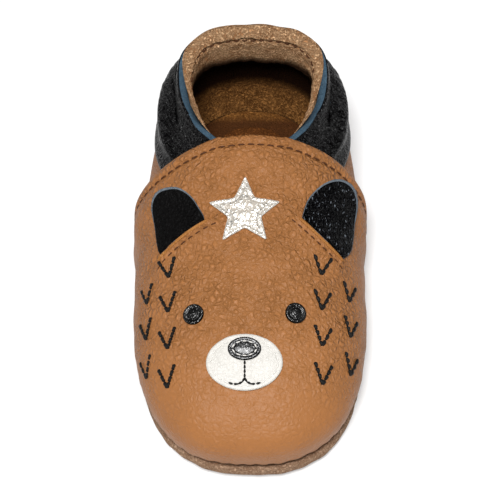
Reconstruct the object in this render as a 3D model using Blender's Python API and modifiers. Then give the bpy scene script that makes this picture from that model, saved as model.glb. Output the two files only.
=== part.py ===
"""Soft-sole baby shoe in leather, for the wearer's right foot.

The shoe stands on its sole with the toe towards -Y and the instep side towards +X.
One function, last_point, gives the form of the last that the shoe is made on. Every leather
piece is a region of that form, laid at its own distance outside or inside it.
Lengths are in metres.
"""
import bmesh
import bpy
import numpy as np

# Driving sizes of the last, the form that the shoe is made on
LAST_LENGTH = 0.131
BALL_WIDTH = 0.0640
INSTEP_HEIGHT = 0.0455
COLLAR_HEIGHT = 0.0510
COLLAR_WIDTH = 0.0400
COLLAR_LENGTH = 0.0380
COLLAR_SET = 0.0075
THROAT_WIDTH = 0.0180
VAMP_SIDE_SET = 0.0095
VAMP_BOW_OUTER = 0.010
VAMP_BOW_INNER = 0.022
VAMP_THROAT_BOW = 0.0013
BULGE_HEIGHT = 0.0140
BULGE_DEPTH = 0.0030
TOE_SPRING = 0.0020
WAIST_PINCH = 0.0030

# Leather and its fit
UPPER_WALL = 0.0012
VAMP_WALL = 0.0012
BAND_WALL = 0.0012
LINING_WALL = 0.0012
PATCH_WALL = 0.0010
EYE_WALL = 0.0012
EAR_WALL = 0.0012
SOLE_WALL = 0.0022
INSOLE_WALL = 0.0025
GAP = 0.0003

# Sole edge, band and collar
SOLE_LIP = 0.0042
SOLE_SEAT = 0.0004
SOLE_TOE_BULGE = 0.0010
FEATHER_RISE = 0.0010
INSOLE_CLEAR = 0.0006
VAMP_FOOT = 0.0058
VAMP_CLEAR = 0.0004
VAMP_SETTLE = 0.0160
BAND_PUFF = 0.0022
BAND_TUCK = 0.0070
LINING_DEPTH = 0.30

# Appliques: widths and lengths on the leather, the distance across from the ridge, and the
# place along the vamp as a share of its length from the toe
FACE_SHIFT = -0.0015
EAR_SHIFT = 0.0011
EAR_WIDTH = 0.0160
EAR_LENGTH = 0.0210
EAR_LIFT = 0.0022
EAR_ACROSS = 0.0217
EAR_PLACE = 0.752
EYE_WIDTH = 0.0056
EYE_ACROSS = 0.0140
EYE_PLACE = 0.40
MUZZLE_WIDTH = 0.0210
MUZZLE_LENGTH = 0.0150
MUZZLE_PLACE = 0.24
NOSE_WIDTH = 0.0092
NOSE_LENGTH = 0.0062
NOSE_PLACE = 0.28
STAR_WIDTH = 0.0200
STAR_PLACE = 0.74

# Mesh density
FRONT_COLUMNS = 22
REAR_COLUMNS = 16
SPLIT = 0.5
STEP = 1e-3

# Plan of the last: share of its length from the toe, half widths as shares of the ball width
PLAN = np.array([
    # at   outer  inner  sway
    [0.00, 0.480, 0.490, 0.000],
    [0.15, 0.493, 0.500, 0.000],
    [0.32, 0.500, 0.500, 0.000],
    [0.50, 0.500, 0.498, 0.000],
    [0.63, 0.492, 0.490, 0.008],
    [0.80, 0.455, 0.455, 0.014],
    [1.00, 0.430, 0.430, 0.014],
])
# Ridge of the last along its top, as a share of the instep height
RIDGE = np.array([
    # at   height
    [0.00, 0.60],
    [0.12, 0.68],
    [0.25, 0.76],
    [0.40, 0.86],
    [0.55, 0.96],
    [0.66, 1.00],
    [0.80, 1.06],
    [1.00, 1.10],
])
# Collar edge from the throat to the heel: half width as a share of the collar width, distance
# behind the throat as a share of the collar length, and height as a share of the collar height
COLLAR = np.array([
    # half   behind  height
    [0.000, 0.000, 0.892],
    [0.125, 0.003, 0.886],
    [0.225, 0.030, 0.869],
    [0.345, 0.176, 0.847],
    [0.460, 0.405, 0.843],
    [0.505, 0.635, 0.873],
    [0.480, 0.838, 0.931],
    [0.345, 0.960, 0.976],
    [0.165, 0.995, 0.996],
    [0.000, 1.000, 1.000],
])
# Wall of the heel, from its widest line up to the collar: shares of its height and of its lean
HEEL_WALL = np.array([
    # at   height lean
    [0.00, 0.00, 0.00],
    [0.30, 0.36, 0.08],
    [0.55, 0.62, 0.36],
    [0.78, 0.80, 0.74],
    [1.00, 1.00, 1.00],
])
# Lower seam of the band: way round from throat to heel, and share of the wall above the feather
BAND_SEAM = np.array([
    # round  wall
    [0.30, 0.600],
    [0.50, 0.590],
    [0.62, 0.520],
    [0.80, 0.450],
    [1.00, 0.430],
])
TOE_FROM = 0.36
TOE_POWER = 2.6
HEEL_FROM = 0.72
HEEL_POWER = 2.2
DOME_POWER = 2.25
TUCK = 0.14
SPRING_FROM = 0.22
THROAT_Y = LAST_LENGTH / 2 - COLLAR_SET - COLLAR_LENGTH
VAMP_SIDE_Y = THROAT_Y - VAMP_SIDE_SET
FEATHER_HEIGHT = SOLE_WALL + GAP + FEATHER_RISE


# Outlines of the ears, as shares of EAR_WIDTH across and EAR_LENGTH along from the ear's place.
# The first EAR_SEAM points are the seam that holds the ear.
EAR_SEAM = 6
OUTER_EAR = np.array([
    (-0.302, -0.510), (-0.140, -0.443), (0.041, -0.343), (0.210, -0.267), (0.379, -0.200),
    (0.491, -0.167), (0.487, -0.073), (0.407, 0.057), (0.321, 0.181), (0.220, 0.279),
    (0.093, 0.347), (-0.068, 0.369), (-0.214, 0.355), (-0.328, 0.289), (-0.398, 0.175),
    (-0.421, 0.037), (-0.415, -0.117), (-0.387, -0.282), (-0.350, -0.422),
])
INNER_EAR = np.array([
    (-0.513, -0.133), (-0.387, -0.210), (-0.250, -0.290), (-0.113, -0.367), (0.031, -0.443),
    (0.175, -0.524), (0.278, -0.498), (0.393, -0.398), (0.474, -0.238), (0.505, -0.034),
    (0.486, 0.164), (0.420, 0.341), (0.293, 0.482), (0.119, 0.545), (-0.052, 0.515),
    (-0.203, 0.434), (-0.328, 0.316), (-0.430, 0.179), (-0.487, 0.042), (-0.515, -0.059),
])

def smoothstep(low, high, value):
    share = np.clip((value - low) / (high - low), 0, 1)
    return share * share * (3 - 2 * share)


def read_table(table, at):
    """The row of a table at any place between its rows, by a cubic that doesn't overshoot."""
    place, rows = table[:, 0], table[:, 1:]
    gap = np.diff(place)
    slope = np.diff(rows, axis=0) / gap[:, None]
    before, after = slope[:-1], slope[1:]
    both = np.where(before * after > 0, before + after, 1)
    tangent = np.zeros_like(rows)
    tangent[1:-1] = np.where(before * after > 0, 2 * before * after / both, 0)
    tangent[0], tangent[-1] = slope[0], slope[-1]
    at = np.clip(np.asarray(at, float), place[0], place[-1])
    i = np.clip(np.searchsorted(place, at, side="right") - 1, 0, len(gap) - 1)
    s = ((at - place[i]) / gap[i])[..., None]
    wide = gap[i][..., None]
    start = (2 * s**3 - 3 * s**2 + 1) * rows[i] + (s**3 - 2 * s**2 + s) * wide * tangent[i]
    end = (3 * s**2 - 2 * s**3) * rows[i + 1] + (s**3 - s**2) * wide * tangent[i + 1]
    return start + end


def smooth_through(points, steps=24):
    """A Catmull-Rom curve through the points, which are rows of coordinates."""
    p = np.vstack([2 * points[0] - points[1], points, 2 * points[-1] - points[-2]])
    t = np.linspace(0, 1, steps, endpoint=False)[:, None]
    parts = []
    for a, b, c, d in zip(p, p[1:], p[2:], p[3:]):
        cubic = (-a + 3 * b - 3 * c + d) * t**3 + (2 * a - 5 * b + 4 * c - d) * t**2
        parts.append((cubic + (c - a) * t + 2 * b) / 2)
    return np.vstack(parts + [points[-1:]])


def arc_shares(points):
    """The share of a line's length at each of its points."""
    steps = np.linalg.norm(np.diff(points, axis=0), axis=1)
    lengths = np.r_[0, np.cumsum(steps)]
    return lengths / lengths[-1]


def at_shares(points, shares, wanted):
    """The points of a line at the wanted shares of its length."""
    return np.stack([np.interp(wanted, shares, column) for column in points.T], -1)


def end_rounding(along):
    """How far a station is into the round toe or heel, and the power that rounds it there."""
    toe = np.clip((TOE_FROM - along) / TOE_FROM, 0, 1)
    heel = np.clip((along - HEEL_FROM) / (1 - HEEL_FROM), 0, 1)
    return np.maximum(toe, heel), np.where(along < 0.5, TOE_POWER, HEEL_POWER)


def half_outline(side):
    """The last's widest line on one side, in plan, from the toe to the heel."""
    along = (1 - np.cos(np.linspace(0, np.pi, 400))) / 2
    outer, inner, sway = (read_table(PLAN, along) * BALL_WIDTH).T
    into, power = end_rounding(along)
    narrowing = np.clip(1 - into**power, 0, 1) ** (1 / power)
    x = sway + side * narrowing * (outer if side < 0 else inner)
    return np.stack([x, (along - 0.5) * LAST_LENGTH], -1)


def collar_half():
    """The last's collar edge on the inner side, from the throat to the heel."""
    half, behind, height = COLLAR.T
    y = THROAT_Y + behind * COLLAR_LENGTH
    x = half * COLLAR_WIDTH
    return smooth_through(np.stack([x, y, height * COLLAR_HEIGHT], -1))


OUTLINES = {side: half_outline(side) for side in (-1, 1)}
OUTLINE_SHARES = {side: arc_shares(OUTLINES[side]) for side in (-1, 1)}
COLLAR_LINE = collar_half()
COLLAR_SHARES = arc_shares(COLLAR_LINE)
WIDENING = np.argmax(COLLAR_LINE[:, 0]) + 1
THROAT_SHARE = np.interp(THROAT_WIDTH / 2, COLLAR_LINE[:WIDENING, 0], COLLAR_SHARES[:WIDENING])


def side_share(side):
    """Where the vamp's rear edge meets the widest line, as a share of that line's length."""
    return np.interp(VAMP_SIDE_Y, OUTLINES[side][:, 1], OUTLINE_SHARES[side])


def two_stretches(round_way, middle):
    """Maps the way round so that SPLIT, the vamp's edge, falls on the middle share."""
    front = round_way / SPLIT * middle
    rear = middle + (round_way - SPLIT) / (1 - SPLIT) * (1 - middle)
    return np.where(round_way < SPLIT, front, rear)


def sway_at(y):
    return read_table(PLAN, y / LAST_LENGTH + 0.5)[..., 2] * BALL_WIDTH


def edges_at(way):
    """The widest line's point and the collar's point at a way round the shoe.

    A way is 0 at the toe and 1 at the heel, negative on the outer side of the foot.
    """
    round_way = np.abs(way)
    widest = np.zeros(np.shape(way) + (2,))
    for side in (-1, 1):
        wanted = two_stretches(round_way, side_share(side))
        found = at_shares(OUTLINES[side], OUTLINE_SHARES[side], wanted)
        here = (way < 0) if side < 0 else (way >= 0)
        widest = np.where(here[..., None], found, widest)
    wanted = two_stretches(round_way, THROAT_SHARE)
    collar = at_shares(COLLAR_LINE, COLLAR_SHARES, wanted)
    collar[..., 0] = collar[..., 0] * np.where(way < 0, -1, 1) + sway_at(collar[..., 1])
    return widest, collar


def lift(y):
    """Toe spring: how far the sole curves up from the floor."""
    along = y / LAST_LENGTH + 0.5
    return TOE_SPRING * np.clip((SPRING_FROM - along) / SPRING_FROM, 0, 1.2) ** 2


def dome_height(x, y):
    """Height of the last's top at a place in plan, from the toe back to the throat."""
    along = y / LAST_LENGTH + 0.5
    outer, inner, sway = np.moveaxis(read_table(PLAN, along) * BALL_WIDTH, -1, 0)
    into, power = end_rounding(along)
    across = np.abs(x - sway) / np.where(x < sway, outer, inner)
    out = np.clip(across**power + into**power, 0, 1) ** (1 / power)
    ridge = read_table(RIDGE, along)[..., 0] * INSTEP_HEIGHT
    round_top = (1 - out**DOME_POWER) ** (1 / DOME_POWER)
    return lift(y) + BULGE_HEIGHT + (ridge - BULGE_HEIGHT) * round_top


def inward_at(widest):
    """Unit direction in plan from the widest line towards the last's middle."""
    middle_y = np.clip(widest[..., 1], -0.20 * LAST_LENGTH, 0.24 * LAST_LENGTH)
    middle = np.stack([sway_at(middle_y), middle_y], -1)
    inward = middle - widest
    return inward / np.linalg.norm(inward, axis=-1, keepdims=True)


def last_point(way, wall):
    """A point of the last: way round the shoe, and wall from 0 at the sole to 1 at the collar."""
    way, wall = np.broadcast_arrays(np.asarray(way, float), np.asarray(wall, float))
    widest, collar = edges_at(way)
    reach = collar[..., :2] - widest
    inward = reach / np.linalg.norm(reach, axis=-1, keepdims=True)
    up = np.clip((wall - TUCK) / (1 - TUCK), 0, 1)

    vamp_plan = widest + reach * (1 - np.cos(up * np.pi / 2))[..., None]
    vamp_z = dome_height(vamp_plan[..., 0], vamp_plan[..., 1])

    height, lean = np.moveaxis(read_table(HEEL_WALL, up), -1, 0)
    pinch = WAIST_PINCH * np.exp(-(((up - 0.76) / 0.14) ** 2))
    heel_plan = widest + reach * lean[..., None] + inward * pinch[..., None]
    foot_z = BULGE_HEIGHT + lift(widest[..., 1])
    heel_z = foot_z + (collar[..., 2] - foot_z) * height

    rear = smoothstep(SPLIT, 0.72, np.abs(way))
    plan = vamp_plan + (heel_plan - vamp_plan) * rear[..., None]
    z = vamp_z + (heel_z - vamp_z) * rear

    down = np.clip(1 - wall / TUCK, 0, 1)
    tucked_plan = widest + inward_at(widest) * (BULGE_DEPTH * down**2)[..., None]
    tucked_z = lift(widest[..., 1]) + BULGE_HEIGHT + (FEATHER_HEIGHT - BULGE_HEIGHT) * down
    low = wall < TUCK
    plan = np.where(low[..., None], tucked_plan, plan)
    z = np.where(low, tucked_z, z)
    return np.concatenate([plan, z[..., None]], -1)


def outward_at(way, wall):
    """Unit direction out of the last."""
    way, wall = np.broadcast_arrays(np.asarray(way, float), np.asarray(wall, float))
    ahead, behind = (way + STEP + 1) % 2 - 1, (way - STEP + 1) % 2 - 1
    above, below = np.clip(wall + STEP, 0, 1), np.clip(wall - STEP, 0, 1)
    round_shoe = last_point(ahead, wall) - last_point(behind, wall)
    up_wall = last_point(way, above) - last_point(way, below)
    normal = np.cross(round_shoe, up_wall)
    return normal / np.linalg.norm(normal, axis=-1, keepdims=True)


def layer(ways, walls, offset):
    """A grid of points at an offset outside the last, one row for each wall value.

    Walls and offset may be numbers, or arrays with a value for each row and column.
    """
    way, wall = np.broadcast_arrays(np.asarray(ways, float)[None, :], walls)
    return last_point(way, wall) + outward_at(way, wall) * np.asarray(offset)[..., None]


def rear_ways(front_end):
    """Ways from the vamp's edge on the inner side, round the heel, to the outer side."""
    inner = np.linspace(SPLIT, 1, REAR_COLUMNS + 1)
    if front_end < SPLIT:
        inner = np.r_[front_end, inner]
    return np.r_[inner, -inner[-2::-1]]


def front_ways():
    """Ways from the vamp's edge on the outer side, round the toe, to the inner side."""
    return np.linspace(-SPLIT, SPLIT, 2 * FRONT_COLUMNS + 1)


def all_ways():
    """Ways once round the shoe from the heel, for a closed ring."""
    inner = np.linspace(SPLIT, 1, REAR_COLUMNS + 1)
    return np.r_[-inner[::-1], front_ways()[1:], inner[1:-1]]


def upper_walls():
    """Heights on the wall where the upper and the vamp have their rows."""
    return np.r_[np.linspace(0, TUCK, 3), np.linspace(TUCK, 1, 11)[1:]]


def material(name, color, roughness, metallic=0.0):
    made = bpy.data.materials.new(name)
    made.use_nodes = True
    shader = made.node_tree.nodes["Principled BSDF"]
    shader.inputs["Base Color"].default_value = (*color, 1)
    shader.inputs["Roughness"].default_value = roughness
    shader.inputs["Metallic"].default_value = metallic
    return made


def loft(name, rows, closed, wall, finish, fill=False):
    """A solid wall laid on a grid of points: outside the grid, or inside where wall is negative.

    Rows run up, or in towards the middle, and each runs anticlockwise seen from above.
    Closed joins each row's end to its start. Fill closes the last row with one face.
    """
    mesh = bmesh.new()
    grid = [[mesh.verts.new(point) for point in row] for row in rows]
    count = len(rows[0])
    for low, high in zip(grid, grid[1:]):
        for j in range(count if closed else count - 1):
            k = (j + 1) % count
            mesh.faces.new((low[j], low[k], high[k], high[j]))
    if fill:
        mesh.faces.new(grid[-1])
    data = bpy.data.meshes.new(name)
    mesh.to_mesh(data)
    mesh.free()
    data.materials.append(finish)
    data.shade_smooth()
    made = bpy.data.objects.new(name, data)
    bpy.data.collections["baby_shoe"].objects.link(made)
    solidify = made.modifiers.new("wall", "SOLIDIFY")
    solidify.thickness = abs(wall)
    solidify.offset = 1 if wall > 0 else -1
    return made


def make_upper(finish):
    """The body of the shoe: one hollow wall, open at the collar and underneath."""
    loft("upper", layer(all_ways(), upper_walls()[:, None], 0), True, UPPER_WALL, finish)


def vamp_way(way, wall):
    """The way of a column of the vamp, bowed back so that the rear edge is one smooth arc."""
    up = np.clip((wall - TUCK) / (1 - TUCK), 0, 1)
    bow = np.where(way < 0, VAMP_BOW_OUTER, VAMP_BOW_INNER)
    return way * (1 + bow / SPLIT * 4 * up * (1 - up))


def vamp_point(way, wall):
    """A point of the last under the vamp, where the throat is bowed back a little too."""
    way, wall = np.broadcast_arrays(np.asarray(way, float), np.asarray(wall, float))
    point = last_point(vamp_way(way, wall), wall)
    x, y = point[..., 0], point[..., 1]
    back = VAMP_THROAT_BOW * (1 - (way / SPLIT) ** 2) * smoothstep(0.8, 1, wall)
    rise = dome_height(x, y + back) - dome_height(x, y)
    return point + np.stack([np.zeros_like(x), back, rise], -1)


def vamp_edge():
    """Points along the vamp's rear edge, up one side, round the throat and down the other."""
    walls = np.linspace(0, 1, 40)
    ways = np.linspace(-SPLIT, SPLIT, 40)
    sides = [vamp_point(-SPLIT, walls), vamp_point(ways, 1), vamp_point(SPLIT, walls)]
    return np.concatenate(sides)


def vamp_rise(points):
    """How far the vamp stands off the upper, over the band's tucked ends."""
    away = np.linalg.norm(points[..., None, :] - vamp_edge(), axis=-1).min(-1)
    over_band = BAND_WALL + GAP + VAMP_CLEAR
    below_band = 0.6 * (1 - smoothstep(0.34, 0.54, points[..., 2] / COLLAR_HEIGHT))
    return over_band * (1 - below_band) * (1 - smoothstep(BAND_TUCK, VAMP_SETTLE, away))


def tuck_wall(height):
    """The wall value at a height on the last below its widest line."""
    return TUCK * (height - FEATHER_HEIGHT) / (BULGE_HEIGHT - FEATHER_HEIGHT)


def make_vamp(finish):
    """The front piece, laid over the upper from the toe back to the throat."""
    foot = tuck_wall(VAMP_FOOT)
    walls = upper_walls()
    walls = np.r_[foot, walls[walls > foot + 0.02]][:, None]
    ways = front_ways()[None, :]
    point, outward = vamp_point(ways, walls), outward_at(vamp_way(ways, walls), walls)
    offset = UPPER_WALL + GAP + vamp_rise(point)
    loft("vamp", point + outward * offset[..., None], False, VAMP_WALL, finish)


def make_ankle_band(finish):
    """The padded band round the heel and ankle, tucked under the vamp at both ends."""
    front_length = np.ptp(OUTLINES[1][:, 1]) * side_share(1)
    ways = rear_ways(SPLIT - SPLIT * BAND_TUCK / front_length)
    seam = read_table(BAND_SEAM, np.abs(ways))[:, 0]
    share = np.linspace(0, 1, 8)[:, None]
    puff = np.sin(np.pi * share) * smoothstep(SPLIT + 0.02, 0.63, np.abs(ways)) * BAND_PUFF
    rows = layer(ways, seam + (1 - seam) * share, UPPER_WALL + GAP + puff)
    loft("ankle_band", rows, False, BAND_WALL, finish)


def make_band_lining(finish):
    """The suede facing inside the collar."""
    walls = np.linspace(1 - LINING_DEPTH, 1, 5)[:, None]
    rows = layer(rear_ways(SPLIT), walls, -GAP)
    loft("band_lining", rows, False, -LINING_WALL, finish)


def sole_ring(out, height):
    """A ring on the sole: out from the upper's lower edge in plan, at a height over the floor."""
    ways = all_ways()
    feather, outward = last_point(ways, 0), outward_at(ways, TUCK)[:, :2]
    outward /= np.linalg.norm(outward, axis=-1, keepdims=True)
    plan = feather[:, :2] + outward * np.asarray(out)[..., None]
    rise = height + feather[:, 2] - FEATHER_HEIGHT
    return np.column_stack([plan, rise])


def inner_rings(edge, height):
    """Rings inside an edge, drawn in towards the middle of the sole."""
    rings = []
    for share in (0.75, 0.35):
        plan = edge[:, :2] * share
        rings.append(np.column_stack([plan, height + lift(plan[:, 1])]))
    return rings


def make_sole(finish):
    """The soft sole: a flat floor with a low lip turned up round the upper."""
    bulge = SOLE_TOE_BULGE * np.exp(-(((all_ways() - 0.05) / 0.20) ** 2))
    seat = UPPER_WALL + GAP + SOLE_SEAT + bulge
    middle = SOLE_WALL + 0.5 * (SOLE_LIP - SOLE_WALL)
    rows = [sole_ring(seat, SOLE_LIP), sole_ring(seat, middle)]
    rows.append(sole_ring(seat - 0.4 * SOLE_WALL, SOLE_WALL))
    rows += inner_rings(rows[-1], SOLE_WALL)
    loft("sole", rows, True, -SOLE_WALL, finish, fill=True)


def make_insole(finish):
    """The padded sock that lies on the sole inside the upper."""
    edge = sole_ring(-INSOLE_CLEAR, SOLE_WALL + GAP)
    rows = [edge] + inner_rings(edge, SOLE_WALL + GAP)
    loft("insole", rows, True, INSOLE_WALL, finish, fill=True)


def across_to_x(across, y):
    """The x in plan at a distance along the leather from the ridge, at one station."""
    outer, inner, sway = read_table(PLAN, y / LAST_LENGTH + 0.5) * BALL_WIDTH
    half = outer if across < 0 else inner
    x = sway + np.sign(across) * np.linspace(0, 0.995, 80) * half
    section = np.column_stack([x, dome_height(x, np.full_like(x, y))])
    steps = np.linalg.norm(np.diff(section, axis=0), axis=1)
    return np.interp(abs(across), np.r_[0, np.cumsum(steps)], x)


def on_vamp(place, out):
    """A point at a distance out from the vamp's outer face.

    The place is the distance across from the ridge and the y of the station.
    """
    across, y = place
    x = across_to_x(across, y)
    point = np.array([x, y, dome_height(x, y)])
    slope_x = (dome_height(x + STEP / 10, y) - dome_height(x - STEP / 10, y)) * 5 / STEP
    slope_y = (dome_height(x, y + STEP / 10) - dome_height(x, y - STEP / 10)) * 5 / STEP
    normal = np.array([-slope_x, -slope_y, 1])
    normal /= np.linalg.norm(normal)
    return point + normal * (UPPER_WALL + GAP + vamp_rise(point) + VAMP_WALL + GAP + out)


def vamp_station(place):
    """The y of a share of the vamp's length from the toe."""
    return -LAST_LENGTH / 2 + place * (THROAT_Y + LAST_LENGTH / 2)


def patch(name, outline, centre, out, wall, finish):
    """A flat applique laid on the vamp, from its outline round a centre on the leather.

    Out gives the distance off the vamp, one value for each point of the outline.
    """
    rows = []
    for share in (1, 0.7, 0.4):
        spread = np.broadcast_to(out, len(outline)) * share + (1 - share) * np.mean(out)
        ring = centre + outline * share
        rows.append([on_vamp(place, off) for place, off in zip(ring, spread)])
    loft(name, rows, True, wall, finish, fill=True)


def oval(width, length, count=24):
    turn = np.linspace(-np.pi, np.pi, count, endpoint=False)
    return np.column_stack([np.cos(turn) * width / 2, np.sin(turn) * length / 2])


def star(width):
    turn = np.linspace(0, 2 * np.pi, 10, endpoint=False) - np.pi / 2
    reach = np.where(np.arange(10) % 2 == 0, 0.24, 0.52) * width
    return np.column_stack([np.cos(turn) * reach, np.sin(turn) * reach])


def make_ear(name, side, outline, finish):
    """A rounded flap held along its front seam, with its free edge standing off the vamp."""
    outline = outline * (EAR_WIDTH, EAR_LENGTH)
    start, end = outline[0], outline[EAR_SEAM - 1]
    seam = (end - start) / np.linalg.norm(end - start)
    behind = np.clip((outline - start) @ (-seam[1], seam[0]), 0, None)
    behind[:EAR_SEAM] = 0
    out = EAR_LIFT * behind / behind.max()
    centre = np.array([EAR_SHIFT + side * EAR_ACROSS, vamp_station(EAR_PLACE)])
    patch(name, outline, centre, out, EAR_WALL, finish)


def make_face(black, white, silver):
    """The appliques on the vamp: ears, eyes, muzzle, nose and star."""
    make_ear("ear_outer", -1, OUTER_EAR, black)
    make_ear("ear_inner", 1, INNER_EAR, black)
    for name, side in (("eye_outer", -1), ("eye_inner", 1)):
        centre = np.array([FACE_SHIFT + side * EYE_ACROSS, vamp_station(EYE_PLACE)])
        patch(name, oval(EYE_WIDTH, EYE_WIDTH, 16), centre, 0, EYE_WALL, black)
    muzzle = np.array([FACE_SHIFT, vamp_station(MUZZLE_PLACE)])
    patch("muzzle_patch", oval(MUZZLE_WIDTH, MUZZLE_LENGTH), muzzle, 0, PATCH_WALL, white)
    nose = np.array([FACE_SHIFT, vamp_station(NOSE_PLACE)])
    on_muzzle = PATCH_WALL + GAP
    patch("nose_patch", oval(NOSE_WIDTH, NOSE_LENGTH, 16), nose, on_muzzle, PATCH_WALL, black)
    crown = np.array([FACE_SHIFT, vamp_station(STAR_PLACE)])
    patch("star_patch", star(STAR_WIDTH), crown, 0, PATCH_WALL, silver)


def main():
    for old in list(bpy.data.objects):
        bpy.data.objects.remove(old, do_unlink=True)
    collection = bpy.data.collections.new("baby_shoe")
    bpy.context.scene.collection.children.link(collection)
    tan = material("tan pebbled leather", (0.39, 0.17, 0.055), 0.42)
    make_upper(tan)
    make_vamp(tan)
    make_ankle_band(material("black gathered leather", (0.014, 0.013, 0.014), 0.38))
    make_band_lining(material("tan suede lining", (0.40, 0.20, 0.085), 0.90))
    make_sole(material("beige suede sole", (0.40, 0.25, 0.14), 0.92))
    make_insole(material("tan suede insole", (0.38, 0.19, 0.08), 0.90))
    black = material("black leather", (0.012, 0.011, 0.012), 0.30)
    white = material("white pebbled leather", (0.80, 0.77, 0.71), 0.45)
    silver = material("silver foil leather", (0.72, 0.72, 0.72), 0.28, 0.85)
    make_face(black, white, silver)


main()
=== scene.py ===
# %% [markdown]
# # A soft-sole baby shoe in leather
# This lesson dresses a plain solid model of a baby's slip-on shoe. The real shoe is sewn from
# soft hides: a pebbled tan leather over the toes, a black leather band round the ankle, and
# suede for the lining and the sole. The solid model comes first, as a frame, and each of its
# plain pieces is then replaced by a finely made one.

# %% Load the frame
from functools import partial

import bpy
import numpy as np
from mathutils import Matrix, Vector
from mathutils.kdtree import KDTree


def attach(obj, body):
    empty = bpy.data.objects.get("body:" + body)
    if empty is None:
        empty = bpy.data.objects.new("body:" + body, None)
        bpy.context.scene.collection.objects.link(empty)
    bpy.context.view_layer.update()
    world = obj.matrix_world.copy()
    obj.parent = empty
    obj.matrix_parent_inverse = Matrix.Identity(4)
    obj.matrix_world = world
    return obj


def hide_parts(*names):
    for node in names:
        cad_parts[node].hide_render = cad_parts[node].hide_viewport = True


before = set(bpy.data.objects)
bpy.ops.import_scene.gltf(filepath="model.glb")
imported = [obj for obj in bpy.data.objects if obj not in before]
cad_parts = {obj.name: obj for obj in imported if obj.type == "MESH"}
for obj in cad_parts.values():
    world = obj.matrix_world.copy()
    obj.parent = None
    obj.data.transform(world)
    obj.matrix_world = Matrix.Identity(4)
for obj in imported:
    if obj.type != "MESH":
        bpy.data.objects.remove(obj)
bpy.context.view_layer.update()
print("pieces in the frame:", sorted(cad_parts))

# %% [markdown]
# ## The sizes of the shoe
# A shoe is made round a last, a solid form of the foot. All leather pieces are regions of the
# last's surface, each at its own distance from it. The sizes below are the ones that the solid
# model was made with, in metres, so that the fine pieces land where the plain ones are.

# %% Sizes
# Driving sizes of the last, the form that the shoe is made on
LAST_LENGTH = 0.131
BALL_WIDTH = 0.0640
INSTEP_HEIGHT = 0.0455
COLLAR_HEIGHT = 0.0510
COLLAR_WIDTH = 0.0400
COLLAR_LENGTH = 0.0380
COLLAR_SET = 0.0075
THROAT_WIDTH = 0.0180
VAMP_SIDE_SET = 0.0095
VAMP_BOW_OUTER = 0.010
VAMP_BOW_INNER = 0.022
VAMP_THROAT_BOW = 0.0013
BULGE_HEIGHT = 0.0140
BULGE_DEPTH = 0.0030
TOE_SPRING = 0.0020
WAIST_PINCH = 0.0030

# Leather and its fit
UPPER_WALL = 0.0012
VAMP_WALL = 0.0012
BAND_WALL = 0.0012
LINING_WALL = 0.0012
PATCH_WALL = 0.0010
EYE_WALL = 0.0012
EAR_WALL = 0.0012
SOLE_WALL = 0.0022
INSOLE_WALL = 0.0025
GAP = 0.0003

# Sole edge, band and collar
SOLE_SEAT = 0.0004
SOLE_TOE_BULGE = 0.0010
FEATHER_RISE = 0.0010
INSOLE_CLEAR = 0.0006
VAMP_FOOT = 0.0058
VAMP_CLEAR = 0.0004
VAMP_SETTLE = 0.0160
BAND_PUFF = 0.0022
BAND_TUCK = 0.0070
LINING_DEPTH = 0.30

# Appliques: widths and lengths on the leather, the distance across from the ridge, and the
# place along the vamp as a share of its length from the toe
FACE_SHIFT = -0.0015
EAR_SHIFT = 0.0011
EAR_WIDTH = 0.0160
EAR_LENGTH = 0.0210
EAR_LIFT = 0.0022
EAR_ACROSS = 0.0217
EAR_PLACE = 0.752
EYE_WIDTH = 0.0056
EYE_ACROSS = 0.0140
EYE_PLACE = 0.40
MUZZLE_WIDTH = 0.0210
MUZZLE_LENGTH = 0.0150
MUZZLE_PLACE = 0.24
NOSE_WIDTH = 0.0092
NOSE_LENGTH = 0.0062
NOSE_PLACE = 0.28
STAR_WIDTH = 0.0200
STAR_PLACE = 0.74

# The way round at the vamp's rear edge, and the step that directions are measured over
SPLIT = 0.5
STEP = 1e-3

# %% [markdown]
# ## The shape of the last
# The tables hold the last's sections as shares of its sizes. A cubic that doesn't overshoot
# reads between their rows, as a shoemaker's batten bends through marks without bulging.

# %% Tables of the last
# Plan of the last: share of its length from the toe, half widths as shares of the ball width
PLAN = np.array([
    # at   outer  inner  sway
    [0.00, 0.480, 0.490, 0.000],
    [0.15, 0.493, 0.500, 0.000],
    [0.32, 0.500, 0.500, 0.000],
    [0.50, 0.500, 0.498, 0.000],
    [0.63, 0.492, 0.490, 0.008],
    [0.80, 0.455, 0.455, 0.014],
    [1.00, 0.430, 0.430, 0.014],
])
# Ridge of the last along its top, as a share of the instep height
RIDGE = np.array([
    # at   height
    [0.00, 0.60],
    [0.12, 0.68],
    [0.25, 0.76],
    [0.40, 0.86],
    [0.55, 0.96],
    [0.66, 1.00],
    [0.80, 1.06],
    [1.00, 1.10],
])
# Collar edge from the throat to the heel: half width as a share of the collar width, distance
# behind the throat as a share of the collar length, and height as a share of the collar height
COLLAR = np.array([
    # half   behind  height
    [0.000, 0.000, 0.892],
    [0.125, 0.003, 0.886],
    [0.225, 0.030, 0.869],
    [0.345, 0.176, 0.847],
    [0.460, 0.405, 0.843],
    [0.505, 0.635, 0.873],
    [0.480, 0.838, 0.931],
    [0.345, 0.960, 0.976],
    [0.165, 0.995, 0.996],
    [0.000, 1.000, 1.000],
])
# Wall of the heel, from its widest line up to the collar: shares of its height and of its lean
HEEL_WALL = np.array([
    # at   height lean
    [0.00, 0.00, 0.00],
    [0.30, 0.36, 0.08],
    [0.55, 0.62, 0.36],
    [0.78, 0.80, 0.74],
    [1.00, 1.00, 1.00],
])
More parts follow.
